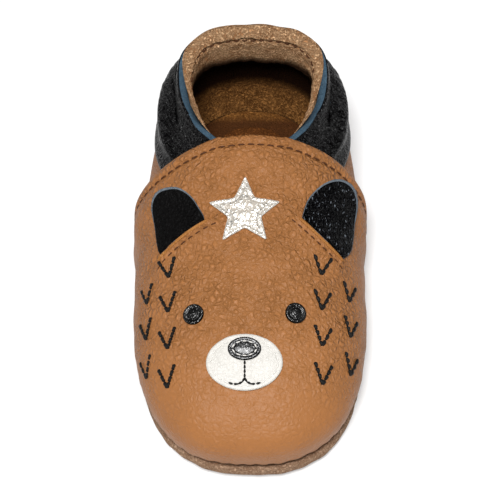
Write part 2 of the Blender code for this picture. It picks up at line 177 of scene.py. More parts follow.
# Lower seam of the band: way round from throat to heel, and share of the wall above the feather
BAND_SEAM = np.array([
    # round  wall
    [0.30, 0.600],
    [0.50, 0.590],
    [0.62, 0.520],
    [0.80, 0.450],
    [1.00, 0.430],
])
TOE_FROM = 0.36
TOE_POWER = 2.6
HEEL_FROM = 0.72
HEEL_POWER = 2.2
DOME_POWER = 2.25
TUCK = 0.14
SPRING_FROM = 0.22
THROAT_Y = LAST_LENGTH / 2 - COLLAR_SET - COLLAR_LENGTH
VAMP_SIDE_Y = THROAT_Y - VAMP_SIDE_SET
FEATHER_HEIGHT = SOLE_WALL + GAP + FEATHER_RISE

# %% Reading the tables
def smoothstep(low, high, value):
    share = np.clip((value - low) / (high - low), 0, 1)
    return share * share * (3 - 2 * share)


def read_table(table, at):
    """The row of a table at any place between its rows, by a cubic that doesn't overshoot."""
    place, rows = table[:, 0], table[:, 1:]
    gap = np.diff(place)
    slope = np.diff(rows, axis=0) / gap[:, None]
    before, after = slope[:-1], slope[1:]
    both = np.where(before * after > 0, before + after, 1)
    tangent = np.zeros_like(rows)
    tangent[1:-1] = np.where(before * after > 0, 2 * before * after / both, 0)
    tangent[0], tangent[-1] = slope[0], slope[-1]
    at = np.clip(np.asarray(at, float), place[0], place[-1])
    i = np.clip(np.searchsorted(place, at, side="right") - 1, 0, len(gap) - 1)
    s = ((at - place[i]) / gap[i])[..., None]
    wide = gap[i][..., None]
    start = (2 * s**3 - 3 * s**2 + 1) * rows[i] + (s**3 - 2 * s**2 + s) * wide * tangent[i]
    end = (3 * s**2 - 2 * s**3) * rows[i + 1] + (s**3 - s**2) * wide * tangent[i + 1]
    return start + end


def smooth_through(points, steps=24):
    """A Catmull-Rom curve through the points, which are rows of coordinates."""
    p = np.vstack([2 * points[0] - points[1], points, 2 * points[-1] - points[-2]])
    t = np.linspace(0, 1, steps, endpoint=False)[:, None]
    parts = []
    for a, b, c, d in zip(p, p[1:], p[2:], p[3:]):
        cubic = (-a + 3 * b - 3 * c + d) * t**3 + (2 * a - 5 * b + 4 * c - d) * t**2
        parts.append((cubic + (c - a) * t + 2 * b) / 2)
    return np.vstack(parts + [points[-1:]])


def arc_shares(points):
    """The share of a line's length at each of its points."""
    steps = np.linalg.norm(np.diff(points, axis=0), axis=1)
    lengths = np.r_[0, np.cumsum(steps)]
    return lengths / lengths[-1]


def unit(directions):
    """Directions with a length of 1."""
    return directions / np.linalg.norm(directions, axis=-1, keepdims=True)


def at_shares(points, shares, wanted):
    """The points of a line at the wanted shares of its length."""
    return np.stack([np.interp(wanted, shares, column) for column in points.T], -1)

# %% [markdown]
# The last has two edges that everything hangs from: its widest line, seen from above, and the
# edge of the collar. A place on the shoe is given by its way round, from 0 at the toe to 1 at
# the heel, and by its height on the wall, from 0 at the sole to 1 at the collar.

# %% Widest line and collar edge
def end_rounding(along):
    """How far a station is into the round toe or heel, and the power that rounds it there."""
    toe = np.clip((TOE_FROM - along) / TOE_FROM, 0, 1)
    heel = np.clip((along - HEEL_FROM) / (1 - HEEL_FROM), 0, 1)
    return np.maximum(toe, heel), np.where(along < 0.5, TOE_POWER, HEEL_POWER)


def half_outline(side):
    """The last's widest line on one side, in plan, from the toe to the heel."""
    along = (1 - np.cos(np.linspace(0, np.pi, 400))) / 2
    outer, inner, sway = (read_table(PLAN, along) * BALL_WIDTH).T
    into, power = end_rounding(along)
    narrowing = np.clip(1 - into**power, 0, 1) ** (1 / power)
    x = sway + side * narrowing * (outer if side < 0 else inner)
    return np.stack([x, (along - 0.5) * LAST_LENGTH], -1)


def collar_half():
    """The last's collar edge on the inner side, from the throat to the heel."""
    half, behind, height = COLLAR.T
    y = THROAT_Y + behind * COLLAR_LENGTH
    x = half * COLLAR_WIDTH
    return smooth_through(np.stack([x, y, height * COLLAR_HEIGHT], -1))


OUTLINES = {side: half_outline(side) for side in (-1, 1)}
OUTLINE_SHARES = {side: arc_shares(OUTLINES[side]) for side in (-1, 1)}
COLLAR_LINE = collar_half()
COLLAR_SHARES = arc_shares(COLLAR_LINE)
WIDENING = np.argmax(COLLAR_LINE[:, 0]) + 1
THROAT_SHARE = np.interp(THROAT_WIDTH / 2, COLLAR_LINE[:WIDENING, 0], COLLAR_SHARES[:WIDENING])


def side_share(side):
    """Where the vamp's rear edge meets the widest line, as a share of that line's length."""
    return np.interp(VAMP_SIDE_Y, OUTLINES[side][:, 1], OUTLINE_SHARES[side])

# %% The way round the shoe
def two_stretches(round_way, middle):
    """Maps the way round so that SPLIT, the vamp's edge, falls on the middle share."""
    front = round_way / SPLIT * middle
    rear = middle + (round_way - SPLIT) / (1 - SPLIT) * (1 - middle)
    return np.where(round_way < SPLIT, front, rear)


def sway_at(y):
    return read_table(PLAN, y / LAST_LENGTH + 0.5)[..., 2] * BALL_WIDTH


def edges_at(way):
    """The widest line's point and the collar's point at a way round the shoe.

    A way is 0 at the toe and 1 at the heel, negative on the outer side of the foot.
    """
    round_way = np.abs(way)
    widest = np.zeros(np.shape(way) + (2,))
    for side in (-1, 1):
        wanted = two_stretches(round_way, side_share(side))
        found = at_shares(OUTLINES[side], OUTLINE_SHARES[side], wanted)
        here = (way < 0) if side < 0 else (way >= 0)
        widest = np.where(here[..., None], found, widest)
    wanted = two_stretches(round_way, THROAT_SHARE)
    collar = at_shares(COLLAR_LINE, COLLAR_SHARES, wanted)
    collar[..., 0] = collar[..., 0] * np.where(way < 0, -1, 1) + sway_at(collar[..., 1])
    return widest, collar

# %% The surface of the last
def lift(y):
    """Toe spring: how far the sole curves up from the floor."""
    along = y / LAST_LENGTH + 0.5
    return TOE_SPRING * np.clip((SPRING_FROM - along) / SPRING_FROM, 0, 1.2) ** 2


def dome_height(x, y):
    """Height of the last's top at a place in plan, from the toe back to the throat."""
    along = y / LAST_LENGTH + 0.5
    outer, inner, sway = np.moveaxis(read_table(PLAN, along) * BALL_WIDTH, -1, 0)
    into, power = end_rounding(along)
    across = np.abs(x - sway) / np.where(x < sway, outer, inner)
    out = np.clip(across**power + into**power, 0, 1) ** (1 / power)
    ridge = read_table(RIDGE, along)[..., 0] * INSTEP_HEIGHT
    round_top = (1 - out**DOME_POWER) ** (1 / DOME_POWER)
    return lift(y) + BULGE_HEIGHT + (ridge - BULGE_HEIGHT) * round_top


def inward_at(widest):
    """Unit direction in plan from the widest line towards the last's middle."""
    middle_y = np.clip(widest[..., 1], -0.20 * LAST_LENGTH, 0.24 * LAST_LENGTH)
    middle = np.stack([sway_at(middle_y), middle_y], -1)
    return unit(middle - widest)


def last_point(way, wall):
    """A point of the last: way round the shoe, and wall from 0 at the sole to 1 at the collar."""
    way, wall = np.broadcast_arrays(np.asarray(way, float), np.asarray(wall, float))
    widest, collar = edges_at(way)
    reach = collar[..., :2] - widest
    up = np.clip((wall - TUCK) / (1 - TUCK), 0, 1)

    vamp_plan = widest + reach * (1 - np.cos(up * np.pi / 2))[..., None]
    vamp_z = dome_height(vamp_plan[..., 0], vamp_plan[..., 1])

    height, lean = np.moveaxis(read_table(HEEL_WALL, up), -1, 0)
    pinch = WAIST_PINCH * np.exp(-(((up - 0.76) / 0.14) ** 2))
    heel_plan = widest + reach * lean[..., None] + unit(reach) * pinch[..., None]
    foot_z = BULGE_HEIGHT + lift(widest[..., 1])
    heel_z = foot_z + (collar[..., 2] - foot_z) * height

    rear = smoothstep(SPLIT, 0.72, np.abs(way))
    plan = vamp_plan + (heel_plan - vamp_plan) * rear[..., None]
    z = vamp_z + (heel_z - vamp_z) * rear

    down = np.clip(1 - wall / TUCK, 0, 1)
    tucked_plan = widest + inward_at(widest) * (BULGE_DEPTH * down**2)[..., None]
    tucked_z = lift(widest[..., 1]) + BULGE_HEIGHT + (FEATHER_HEIGHT - BULGE_HEIGHT) * down
    low = wall < TUCK
    plan = np.where(low[..., None], tucked_plan, plan)
    z = np.where(low, tucked_z, z)
    return np.concatenate([plan, z[..., None]], -1)


def outward_at(way, wall):
    """Unit direction out of the last."""
    way, wall = np.broadcast_arrays(np.asarray(way, float), np.asarray(wall, float))
    ahead, behind = (way + STEP + 1) % 2 - 1, (way - STEP + 1) % 2 - 1
    above, below = np.clip(wall + STEP, 0, 1), np.clip(wall - STEP, 0, 1)
    round_shoe = last_point(ahead, wall) - last_point(behind, wall)
    up_wall = last_point(way, above) - last_point(way, below)
    return unit(np.cross(round_shoe, up_wall))


print("last: %.0f mm long" % (1000 * np.ptp(OUTLINES[1][:, 1])))

# %% [markdown]
# ## The camera, the light and the floor
# The photograph looks down at the toe from a little in front, with a long lens, on a white
# table under big soft lamps. A long lens far away keeps the shoe's sides nearly parallel.

# %% Camera
CAMERA_HEIGHT = np.radians(58.0)
CAMERA_AWAY = 0.620
AIM = Vector((0.0, 0.0, 0.0200))
PIXELS_PER_METRE, FRAME_PIXELS = 3320.0, 500
scene = bpy.context.scene


def set_up_at(place, name, data):
    """A camera or a lamp at a place, turned to the shoe."""
    made = bpy.data.objects.new(name, data)
    made.location = place
    made.rotation_euler = (Vector(place) - AIM).to_track_quat("Z", "Y").to_euler()
    scene.collection.objects.link(made)
    return made


camera_data = bpy.data.cameras.new("camera")
camera_data.lens = PIXELS_PER_METRE * CAMERA_AWAY / FRAME_PIXELS * camera_data.sensor_width
camera_data.clip_start = 0.01
camera_data.shift_y = -0.004
towards = Vector((0.0, -np.cos(CAMERA_HEIGHT), np.sin(CAMERA_HEIGHT)))
scene.camera = set_up_at(AIM + towards * CAMERA_AWAY, "camera", camera_data)
print("lens: %.0f mm" % camera_data.lens)

# %% Lamps
LAMPS = {
    # name         place                 size  power
    "lamp key": ((-0.08, -0.46, 1.14), 0.30, 18.0),
    "lamp above": ((0.10, 0.05, 1.25), 0.60, 2.2),
    "lamp left": ((-0.95, -0.10, 0.45), 0.35, 0.5),
    "lamp right": ((0.95, -0.10, 0.45), 0.35, 0.5),
}
for name, (place, size, power) in LAMPS.items():
    softbox = bpy.data.lights.new(name, "AREA")
    softbox.size, softbox.energy = size, power
    set_up_at(place, name, softbox)

scene.world = bpy.data.worlds.new("studio")
scene.world.use_nodes = True
room = scene.world.node_tree.nodes["Background"]
room.inputs["Color"].default_value = (1, 1, 1, 1)
room.inputs["Strength"].default_value = 0.11
scene.view_settings.view_transform = "Standard"
print("lamps:", len(LAMPS))

# %% [markdown]
# ## Colours and node helpers
# Hides are dyed, so their colours are written as hex values as seen in daylight, and one
# function turns them to the linear values that shaders work in. One more function adds a node
# with its settings and links. Places come from the object itself, in metres, so that each
# pattern below is scaled from its real size.

# %% Colour and node helpers
SMOOTH = {"interpolation_type": "SMOOTHSTEP"}


def linear(hex_colour):
    """An sRGB hex colour as linear red, green, blue and alpha."""
    parts = np.array([int(hex_colour[i:i + 2], 16) for i in (1, 3, 5)]) / 255
    parts = np.where(parts <= 0.04045, parts / 12.92, ((parts + 0.055) / 1.055) ** 2.4)
    return (*parts.tolist(), 1.0)


def set_up(node, settings):
    """Sets a node's properties and inputs. A node or a socket given to an input is linked."""
    for name, value in settings.items():
        if not isinstance(name, int) and name not in node.inputs:
            setattr(node, name, value)
        elif isinstance(value, (bpy.types.Node, bpy.types.NodeSocket)):
            source = value.outputs[0] if isinstance(value, bpy.types.Node) else value
            node.id_data.links.new(source, node.inputs[name])
        else:
            node.inputs[name].default_value = value
    return node


def add_node(tree, kind, settings):
    """Adds a node to a tree, with its settings and links."""
    return set_up(tree.nodes.new("ShaderNode" + kind), settings)


def new_finish(name, settings):
    """A material, the adding of nodes to it, its Principled shader and places on the piece."""
    made = bpy.data.materials.new(name)
    made.use_nodes = True
    shader = set_up(made.node_tree.nodes["Principled BSDF"], settings)
    add = partial(add_node, made.node_tree)
    print("finish:", name)
    return made, add, shader, add("TexCoord", {}).outputs["Object"]


def bent(add, place, scale, detail, shift):
    """Places shifted by noise, so that no line of a pattern drawn at them is straight."""
    noise = add("TexNoise", {"Scale": scale, "Detail": detail, "Vector": place})
    centred = add("VectorMath", {"operation": "SUBTRACT", 0: noise.outputs["Color"],
                                 1: (0.5, 0.5, 0.5)})
    moved = add("VectorMath", {"operation": "SCALE", "Scale": shift, 0: centred})
    return add("VectorMath", {"operation": "ADD", 0: place, 1: moved})

# %% [markdown]
# ## Pebbled leather
# Tan and black hides here are chrome-tanned cowhide, dyed through and drummed until the grain
# rises in soft pebbles 1 to 2 mm across, with fine creases between them. To the eye that is a
# satin surface: rounded tops that catch the light, and darker, rougher creases. A scanned
# texture could show it, but one made of nodes has the real scale everywhere and no seam. A
# Voronoi pattern gives the cells. Noise bends it first, so that no crease runs straight.

# %% Pebbled leather
def pebbled_leather(name, top, crease_shade, pebble, depth, roughness, specular=0.5, coat=0.0,
                    painted_glint=None):
    """Drummed cowhide: pebble is its grain's width and depth its height, in metres."""
    made, add, shader, place = new_finish(name, {
        "Coat Weight": coat, "Coat Roughness": 0.22, "Specular IOR Level": specular})
    # plump pebbles with soft creases between them, bent so that no two are alike
    curved = bent(add, place, 0.85 / pebble, 2.0, 1.3 * pebble)
    cells = add("TexVoronoi", {"feature": "DISTANCE_TO_EDGE", "Scale": 1 / pebble,
                               "Vector": curved})
    banks = add("MapRange", SMOOTH | {"From Min": -0.10, "From Max": 0.46, "Value": cells})
    # the creases are deep in places and nearly gone in others
    uneven = add("TexNoise", {"Scale": 0.22 / pebble, "Detail": 3.0, "Vector": place})
    rise = add("MapRange", {"From Min": 0.36, "From Max": 0.60, "To Min": 0.60,
                            "Value": uneven})
    # over the toe the hide is stretched on the last, and its grain is nearly flat
    along = add("SeparateXYZ", {0: place}).outputs["Y"]
    slack = add("MapRange", SMOOTH | {"From Min": -0.062, "From Max": -0.030, "To Min": 0.30,
                                      "Value": along})
    rise = add("Math", {"operation": "MULTIPLY", 0: rise, 1: slack})
    pebbles = add("Math", {"operation": "MULTIPLY", 0: banks, 1: rise})
    wrinkles = add("TexNoise", {"Scale": 1.2 / pebble, "Detail": 4.0, "Roughness": 0.55,
                                "Vector": curved})
    grain = add("Math", {"operation": "MULTIPLY_ADD", 0: wrinkles, 1: 0.45, 2: pebbles})
    bump = add("Bump", {"Distance": depth, "Height": grain})
    # painted shade: only the creases are painted darker, for the shade that falls in them, and
    # they are rougher too; the tops keep one even colour
    bare = add("Math", {"operation": "SUBTRACT", 0: 1.0, 1: banks})
    crease_shading = add("Math", {"operation": "MULTIPLY", 0: bare, 1: rise})
    crease_shading = add("MapRange", {"To Min": 1.0, "To Max": 0.62, "Value": crease_shading})
    mottle = add("TexNoise", {"Scale": 60.0, "Detail": 4.0, "Vector": place})
    mixed = add("Math", {"operation": "MULTIPLY_ADD", 0: mottle, 1: 0.22, 2: crease_shading})
    shade = add("Math", {"operation": "SUBTRACT", "use_clamp": True, 0: mixed, 1: 0.16})
    colour = add("Mix", {"data_type": "RGBA", 0: shade, 6: linear(crease_shade), 7: linear(top)})
    rough = add("MapRange", {"To Min": roughness + 0.14, "To Max": roughness - 0.04,
                             "Value": crease_shading})
    if painted_glint:
        # painted highlights: short pale streaks are painted into the colour, in place of the
        # lamps' glints on the glazed tops of long pebbles
        drawn_out = add("Mapping", {"Scale": (1.9, 0.75, 0.75), "Vector": place})
        streaks = add("TexNoise", {"Scale": 1.20 / pebble, "Detail": 1.0, "Distortion": 0.5,
                                   "Vector": drawn_out})
        glint_spots = add("MapRange", {"From Min": 0.66, "From Max": 0.74, "Value": streaks})
        colour = add("Mix", {"data_type": "RGBA", 0: glint_spots, 6: colour.outputs[2],
                             7: linear(painted_glint)})
    set_up(shader, {"Base Color": colour.outputs[2], "Roughness": rough, "Normal": bump})
    return made


TAN_LEATHER = pebbled_leather(
    "tan drummed cowhide", "#A06A3D", "#62401F", 0.00170, 0.00052, 0.50, 0.20)
HEEL_LEATHER = pebbled_leather(
    "tan drummed cowhide heel", "#9C6639", "#623E1E", 0.00115, 0.00045, 0.50, 0.20)
BLACK_LEATHER = pebbled_leather(
    "black drummed cowhide", "#040304", "#010101", 0.00125, 0.00055, 0.30, 0.16)
# the glazed ear's pale glints are painted highlights in its colour
EAR_GLOSS_AND_GLINTS = pebbled_leather(
    "black glazed cowhide, painted glints", "#020203", "#000000", 0.00105, 0.00045, 0.26, 0.07, painted_glint="#6B7178")
EAR_MATT = pebbled_leather(
    "black matt cowhide", "#060505", "#020202", 0.00100, 0.00030, 0.55, 0.06)
BLACK_POLISHED = pebbled_leather(
    "black polished cowhide", "#070707", "#020202", 0.00090, 0.00014, 0.20, 0.35, 0.25)
WHITE_LEATHER = pebbled_leather(
    "white drummed cowhide", "#CFCCC6", "#BDB9B0", 0.00095, 0.00020, 0.50)

# %% [markdown]
# ## Suede
# Suede is the flesh side of a hide, sanded until its fibres stand up as a nap. It has no gloss:
# it scatters light in all directions, looks paler at a grazing angle, and shows darker and
# lighter strokes where the nap lies one way or the other. Hair particles could make a nap, but
# they are slow and lost in an export, so two noises stand for its tufts and strokes. Real nap
# is about 0.1 mm long, too fine for this picture, so it is drawn in clumps of 0.3 to 0.7 mm.

# %% Suede
def suede(name, light, dark, clump, depth, contrast=1.0, painted_shade=None, levels=None, axis="Z"):
    """Napped leather: clump is a tuft's width in metres. Painted shade is a darker colour in
    place of shade.

    Levels are where the painted shade starts, is full, begins to fade and ends along the axis.
    """
    made, add, shader, place = new_finish(name, {
        "Roughness": 0.95, "Sheen Weight": 0.08, "Sheen Roughness": 0.5,
        "Sheen Tint": linear(light), "Specular IOR Level": 0.05})
    tufts = add("TexNoise", {"Scale": 1 / clump, "Detail": 5.0, "Roughness": 0.65,
                             "Distortion": 0.6, "Vector": place})
    strokes = add("TexNoise", {"Scale": 0.16 / clump, "Detail": 4.0, "Vector": place})
    nap = add("MapRange", {"From Min": 0.40, "From Max": 0.60, "To Max": contrast,
                           "Value": tufts})
    lie = add("MapRange", {"From Min": 0.32, "From Max": 0.68, "Value": strokes})
    both = add("Math", {"operation": "MULTIPLY_ADD", 0: lie, 1: 0.40, 2: nap})
    tone = add("MapRange", {"From Max": 1.40, "Value": both})
    colour = add("Mix", {"data_type": "RGBA", 0: tone, 6: linear(dark), 7: linear(light)})
    # painted shade: a darker colour laid over the suede between the levels
    if painted_shade:
        start, full, fading, end = levels
        at = add("SeparateXYZ", {0: place}).outputs[axis]
        rising = add("MapRange", SMOOTH | {"From Min": start, "From Max": full, "Value": at})
        falling = add("MapRange", SMOOTH | {"From Min": end, "From Max": fading, "Value": at})
        shade_zone = add("Math", {"operation": "MULTIPLY", 0: rising, 1: falling})
        colour = add("Mix", {"data_type": "RGBA", 0: shade_zone, 6: colour.outputs[2],
                             7: linear(painted_shade)})
    bump = add("Bump", {"Distance": depth, "Height": both})
    set_up(shader, {"Base Color": colour.outputs[2], "Normal": bump})
    return made


# painted shade: the suede inside the heel is painted dark brown between the insole and the
# lining, where shade falls under the collar
LINING_SUEDE_AND_SHADE = suede("tan lining suede, painted shade", "#F2C597", "#96623A", 0.00066, 0.00075, 1.0,
                     "#2A1408", (0.020, 0.030, 0.0375, 0.0415))
INNER_SUEDE_AND_SHADE = suede("brown inner suede, painted shade", "#B07A43", "#43250B", 0.00066, 0.00060, 1.0,
                    "#1C0A04", (0.0125, 0.0195, 0.0315, 0.0375))
THROAT_SUEDE = suede("brown throat suede", "#744520", "#40220C", 0.00060, 0.00040)
# painted shade: the insole is painted darker too, all but the last few millimetres at the heel,
# for the shade under the vamp
INSOLE_SUEDE_AND_SHADE = suede("tan insole suede, painted shade", "#A8723B", "#4C2A0D", 0.00060, 0.00045, 1.0,
                     "#55321A", (-1.0, -0.9, 0.0565, 0.0600), "Y")
SOLE_SUEDE = suede("beige sole suede", "#C8A68A", "#7E5C42", 0.00060, 0.00040)

# %% [markdown]
# ## Cut edges, thread and foil
# Where a hide is cut, its core shows. The tan hide's core is a paler tan. Chrome tanning leaves
# the core of the black hide a blue grey, which is the thin blue line round this shoe's collar.
# Thread is twisted polyester with a soft shine. The silver patch is foil on a white hide,
# pressed and then cracked by use: bright metal with a sharp glint, and dull hide in the cracks.

# %% Cut edges and thread
def cut_edge(name, light, dark):
    """The fibrous core of a hide where a knife went through it."""
    return suede(name, light, dark, 0.00035, 0.00012, 0.8)


def thread(name, colour):
    """Twisted sewing thread. Its plies are in the mesh, and fine fibres in the bump."""
    made, add, shader, place = new_finish(name, {
        "Base Color": linear(colour), "Roughness": 0.6, "Sheen Weight": 0.03,
        "Specular IOR Level": 0.2})
    # real fibres are finer: these are 6 to a millimetre, as coarse as they need to be to show
    fibres = add("TexNoise", {"Scale": 6000.0, "Detail": 2.0, "Vector": place})
    set_up(shader, {"Normal": add("Bump", {"Distance": 0.00005, "Height": fibres})})
    return made


TAN_EDGE = cut_edge("cut edge of tan hide", "#C08850", "#8A5526")
BLUE_EDGE = cut_edge("cut edge of black hide", "#4F6778", "#2E404E")
GREY_EDGE = cut_edge("cut edge of ear hide", "#7C848C", "#4C545B")
WHITE_EDGE = cut_edge("cut edge of white hide", "#DEDBD4", "#C9C4BB")
BLACK_THREAD = thread("black polyester thread", "#0B0907")
BROWN_THREAD = thread("brown polyester thread", "#4C2A11")
WHITE_THREAD = thread("white polyester thread", "#DCD9D3")

# %% Cracked silver foil
def cracked_foil(name, island):
    """Foil on hide: metal islands of a width in metres, with the white hide in the cracks."""
    made, add, shader, place = new_finish(name, {})
    curved = bent(add, place, 0.625 / island, 4.0, 1.76 * island)
    cells = add("TexVoronoi", {"feature": "DISTANCE_TO_EDGE", "Scale": 1 / island,
                               "Vector": curved})
    foil = add("MapRange", SMOOTH | {"From Min": 0.05, "From Max": 0.14, "Value": cells})
    flakes = add("TexVoronoi", {"Scale": 1.875 / island, "Vector": curved})
    tint = add("Mix", {"data_type": "RGBA", 0: flakes, 6: linear("#F4F3EF"),
                       7: linear("#C4BCAD")})
    colour = add("Mix", {"data_type": "RGBA", 0: foil, 6: linear("#A79E92"),
                         7: tint.outputs[2]})
    metal = add("Math", {"operation": "MULTIPLY", 0: foil, 1: 0.80})
    rough = add("MapRange", {"To Min": 0.62, "To Max": 0.30, "Value": foil})
    bump = add("Bump", {"Distance": 0.00022, "Height": cells})
    set_up(shader, {"Base Color": colour.outputs[2], "Metallic": metal, "Roughness": rough,
                    "Normal": bump})
    return made


SILVER_FOIL = cracked_foil("cracked silver foil", 0.00125)
print("finishes:", len(bpy.data.materials))

# %% [markdown]
# ## From arrays to meshes
# A leather piece has two faces and a cut edge all round. A skin joins an outer and an inner
# grid of points into one closed body, with its own finish for the outside, the inside and the
# edge. A tube is a stack of rings, closed at both ends: it makes thread, soles and patches.

# %% Mesh helpers
def make_piece(name, points, faces, finishes, replaces=(), finish_of=0):
    """One smooth object from arrays, which rides on the shoe's only body."""
    mesh = bpy.data.meshes.new(name)
    mesh.from_pydata(np.reshape(points, (-1, 3)).tolist(), [], faces)
    for finish in finishes:
        mesh.materials.append(finish)
    numbers = np.resize(finish_of, len(faces)).astype(np.int32)
    mesh.polygons.foreach_set("material_index", numbers)
    mesh.shade_smooth()
    piece = bpy.data.objects.new(name, mesh)
    scene.collection.objects.link(piece)
    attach(piece, "root")
    if replaces:
        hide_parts(*replaces)
    print("%s: %d faces" % (name, len(faces)))


def grid_faces(index):
    """Quads between neighbouring rows and columns of vertex numbers."""
    corners = (index[:-1, :-1], index[:-1, 1:], index[1:, 1:], index[1:, :-1])
    return np.stack(corners, -1).reshape(-1, 4)


def wrapped(index):
    """Vertex numbers of rings, with the first column once more at the end."""
    return np.column_stack([index, index[:, :1]])


def tube_faces(rings, sides, first=0):
    """Faces of a stack of rings that is closed at both ends."""
    index = first + np.arange(rings * sides).reshape(rings, sides)
    walls = grid_faces(wrapped(index))[:, ::-1].tolist()
    return walls + [index[0].tolist(), index[-1, ::-1].tolist()]


def skin(name, outer, inner, finishes, replaces=(), closed=False, rim=0):
    """A closed body between two grids. Finishes are for the outside, the inside and the edge.

    Rim is how many of the outside's last rows take the edge's finish, in all or by column.
    """
    rows, columns = outer.shape[:2]
    out = np.arange(rows * columns).reshape(rows, columns)
    if closed:
        out = wrapped(out)
    inn = out + rows * columns
    edges = [grid_faces(np.stack([inn[0], out[0]])), grid_faces(np.stack([out[-1], inn[-1]]))]
    if not closed:
        edges.append(grid_faces(np.stack([out[:, 0], inn[:, 0]])))
        edges.append(grid_faces(np.stack([inn[:, -1], out[:, -1]])))
    groups = [grid_faces(out), grid_faces(inn)[:, ::-1], np.concatenate(edges)]
    finish_of = np.repeat([0, 1, 2], [len(g) for g in groups])
    across = out.shape[1] - 1
    from_end = np.arange(rows - 1)[::-1, None]
    finish_of[:(rows - 1) * across][(from_end < np.resize(rim, across)).ravel()] = 2
    points = np.concatenate([outer.reshape(-1, 3), inner.reshape(-1, 3)])
    make_piece(name, points, np.concatenate(groups).tolist(), finishes, replaces,
               finish_of)

# %% Helpers for shapes
def off(base, normal, height):
    """Points at a height over a surface, along its directions."""
    return base + normal * np.asarray(height)[..., None]


def in_space(points):
    """Flat places with a height of 0, or points as they are."""
    missing = 3 - points.shape[-1]
    return np.concatenate([points, np.zeros(points.shape[:-1] + (missing,))], -1)


def away_from(points, line):
    """The distance of each point from the nearest point of a line, in space or on a plane."""
    tree = KDTree(len(line))
    for number, point in enumerate(in_space(line)):
        tree.insert(point, number)
    tree.balance()
    found = [tree.find(point)[2] for point in in_space(points).reshape(-1, 3)]
    return np.reshape(found, points.shape[:-1])


def resample(line, step=None, count=None):
    """Points at an even step along a line, or a given number of them.

    A line's first three columns are the place. What follows them goes with it.
    """
    lengths = np.r_[0, np.cumsum(np.linalg.norm(np.diff(line[:, :3], axis=0), axis=1))]
    if step:
        count = max(2, int(round(lengths[-1] / step)) + 1)
    return at_shares(line, lengths, np.linspace(0, lengths[-1], count))


def bell(at, middle, width):
    """A smooth bump with a height of 1 round a middle."""
    return np.exp(-(((at - middle) / width) ** 2))


def spaced(low, high, count, fine):
    """Values from low to high that crowd together at both ends, more so as fine nears 1."""
    turn = np.linspace(0, np.pi, count)
    even = np.linspace(0, 1, count)
    share = even + (0.5 * (1 - np.cos(turn)) - even) * fine
    return low + (high - low) * share


def rounding(away, radius):
    """How far a face falls near a cut edge, so that the edge is round."""
    inside = np.clip(1 - away / radius, 0, 1)
    return radius * (1 - np.sqrt(1 - inside**2))


def soften(grid, times):
    """Evens out a grid of directions along its rows, so that offset skins don't cross."""
    for _ in range(times):
        ends = np.concatenate([grid[:, :1], grid, grid[:, -1:]], axis=1)
        grid = (ends[:, :-2] + 2 * ends[:, 1:-1] + ends[:, 2:]) / 4
    return unit(grid)


def ripple(points, scale, seed):
    """Soft, smooth unevenness between -1 and 1, from a few sine waves in fixed directions."""
    rng = np.random.default_rng(seed)
    total = np.zeros(points.shape[:-1])
    for _ in range(7):
        direction = rng.normal(size=3)
        direction *= rng.uniform(0.7, 1.5) / scale / np.linalg.norm(direction)
        total += np.sin(2 * np.pi * (points @ direction) + rng.uniform(0, 2 * np.pi))
    return total / 3.5

# %% [markdown]
# ## A map of the vamp
# The vamp is the front piece. Its decorations are cut flat and sewn on before the shoe is
# closed, so they are best measured along the leather: the distance across from the ridge, and
# the station along the shoe. The map below turns that into places on the curved leather.

# %% Map between the leather and the plan
STATIONS = np.linspace(-LAST_LENGTH / 2 + 0.0006, THROAT_Y + 0.004, 260)
ACROSS_SHARES = np.linspace(-0.997, 0.997, 321)


def section_arcs():
    """The x of each share of each station's width, and its distance along the leather."""
    outer, inner, sway = (read_table(PLAN, STATIONS / LAST_LENGTH + 0.5) * BALL_WIDTH).T
    into, power = end_rounding(STATIONS / LAST_LENGTH + 0.5)
    narrow = np.clip(1 - into**power, 0, 1) ** (1 / power)
    half = np.where(ACROSS_SHARES < 0, outer[:, None], inner[:, None]) * narrow[:, None]
    x = sway[:, None] + ACROSS_SHARES * half
    z = dome_height(x, np.broadcast_to(STATIONS[:, None], x.shape))
    steps = np.hypot(np.diff(x, axis=1), np.diff(z, axis=1))
    arcs = np.concatenate([np.zeros((len(x), 1)), np.cumsum(steps, axis=1)], axis=1)
    return x, arcs - arcs[:, [len(ACROSS_SHARES) // 2]]


SECTION_X, SECTION_ARC = section_arcs()


def across_of(x, y):
    """The distance along the leather from the ridge to a place in plan."""
    row = np.interp(y, STATIONS, np.arange(len(STATIONS)))
    low = np.clip(row.astype(int), 0, len(STATIONS) - 2)
    found = []
    for r in (low, low + 1):
        span = SECTION_X[r, -1] - SECTION_X[r, 0]
        column = np.clip((x - SECTION_X[r, 0]) / span, 0, 1) * (len(ACROSS_SHARES) - 1)
        c = np.clip(column.astype(int), 0, len(ACROSS_SHARES) - 2)
        part = column - c
        found.append(SECTION_ARC[r, c] * (1 - part) + SECTION_ARC[r, c + 1] * part)
    return found[0] + (found[1] - found[0]) * (row - low)


def x_of(across, y):
    """The x in plan of places given by their distance across and their station."""
    across, y = np.broadcast_arrays(np.asarray(across, float), np.asarray(y, float))
    row = np.rint(np.interp(y, STATIONS, np.arange(len(STATIONS)))).astype(int)
    flat = [np.interp(a, SECTION_ARC[r], SECTION_X[r]) for a, r in zip(across.flat, row.flat)]
    return np.reshape(flat, across.shape)


def vamp_station(place):
    """The y of a share of the vamp's length from the toe."""
    return -LAST_LENGTH / 2 + place * (THROAT_Y + LAST_LENGTH / 2)

# %% [markdown]
# The vamp's rear edge lies over the ends of the ankle band, so it stands off the shoe there. It
# is stitched 3.3 mm in from the edge: the thread pulls a groove, and the leather swells between
# the groove and the edge. Each ear sits in a slit. The leather in front of the slit runs over
# the ear's foot, so it makes a low step there.

# %% Edge of the vamp
def on_last(way, wall):
    """Points of the last, and the directions out of it there."""
    return last_point(way, wall), outward_at(way, wall)


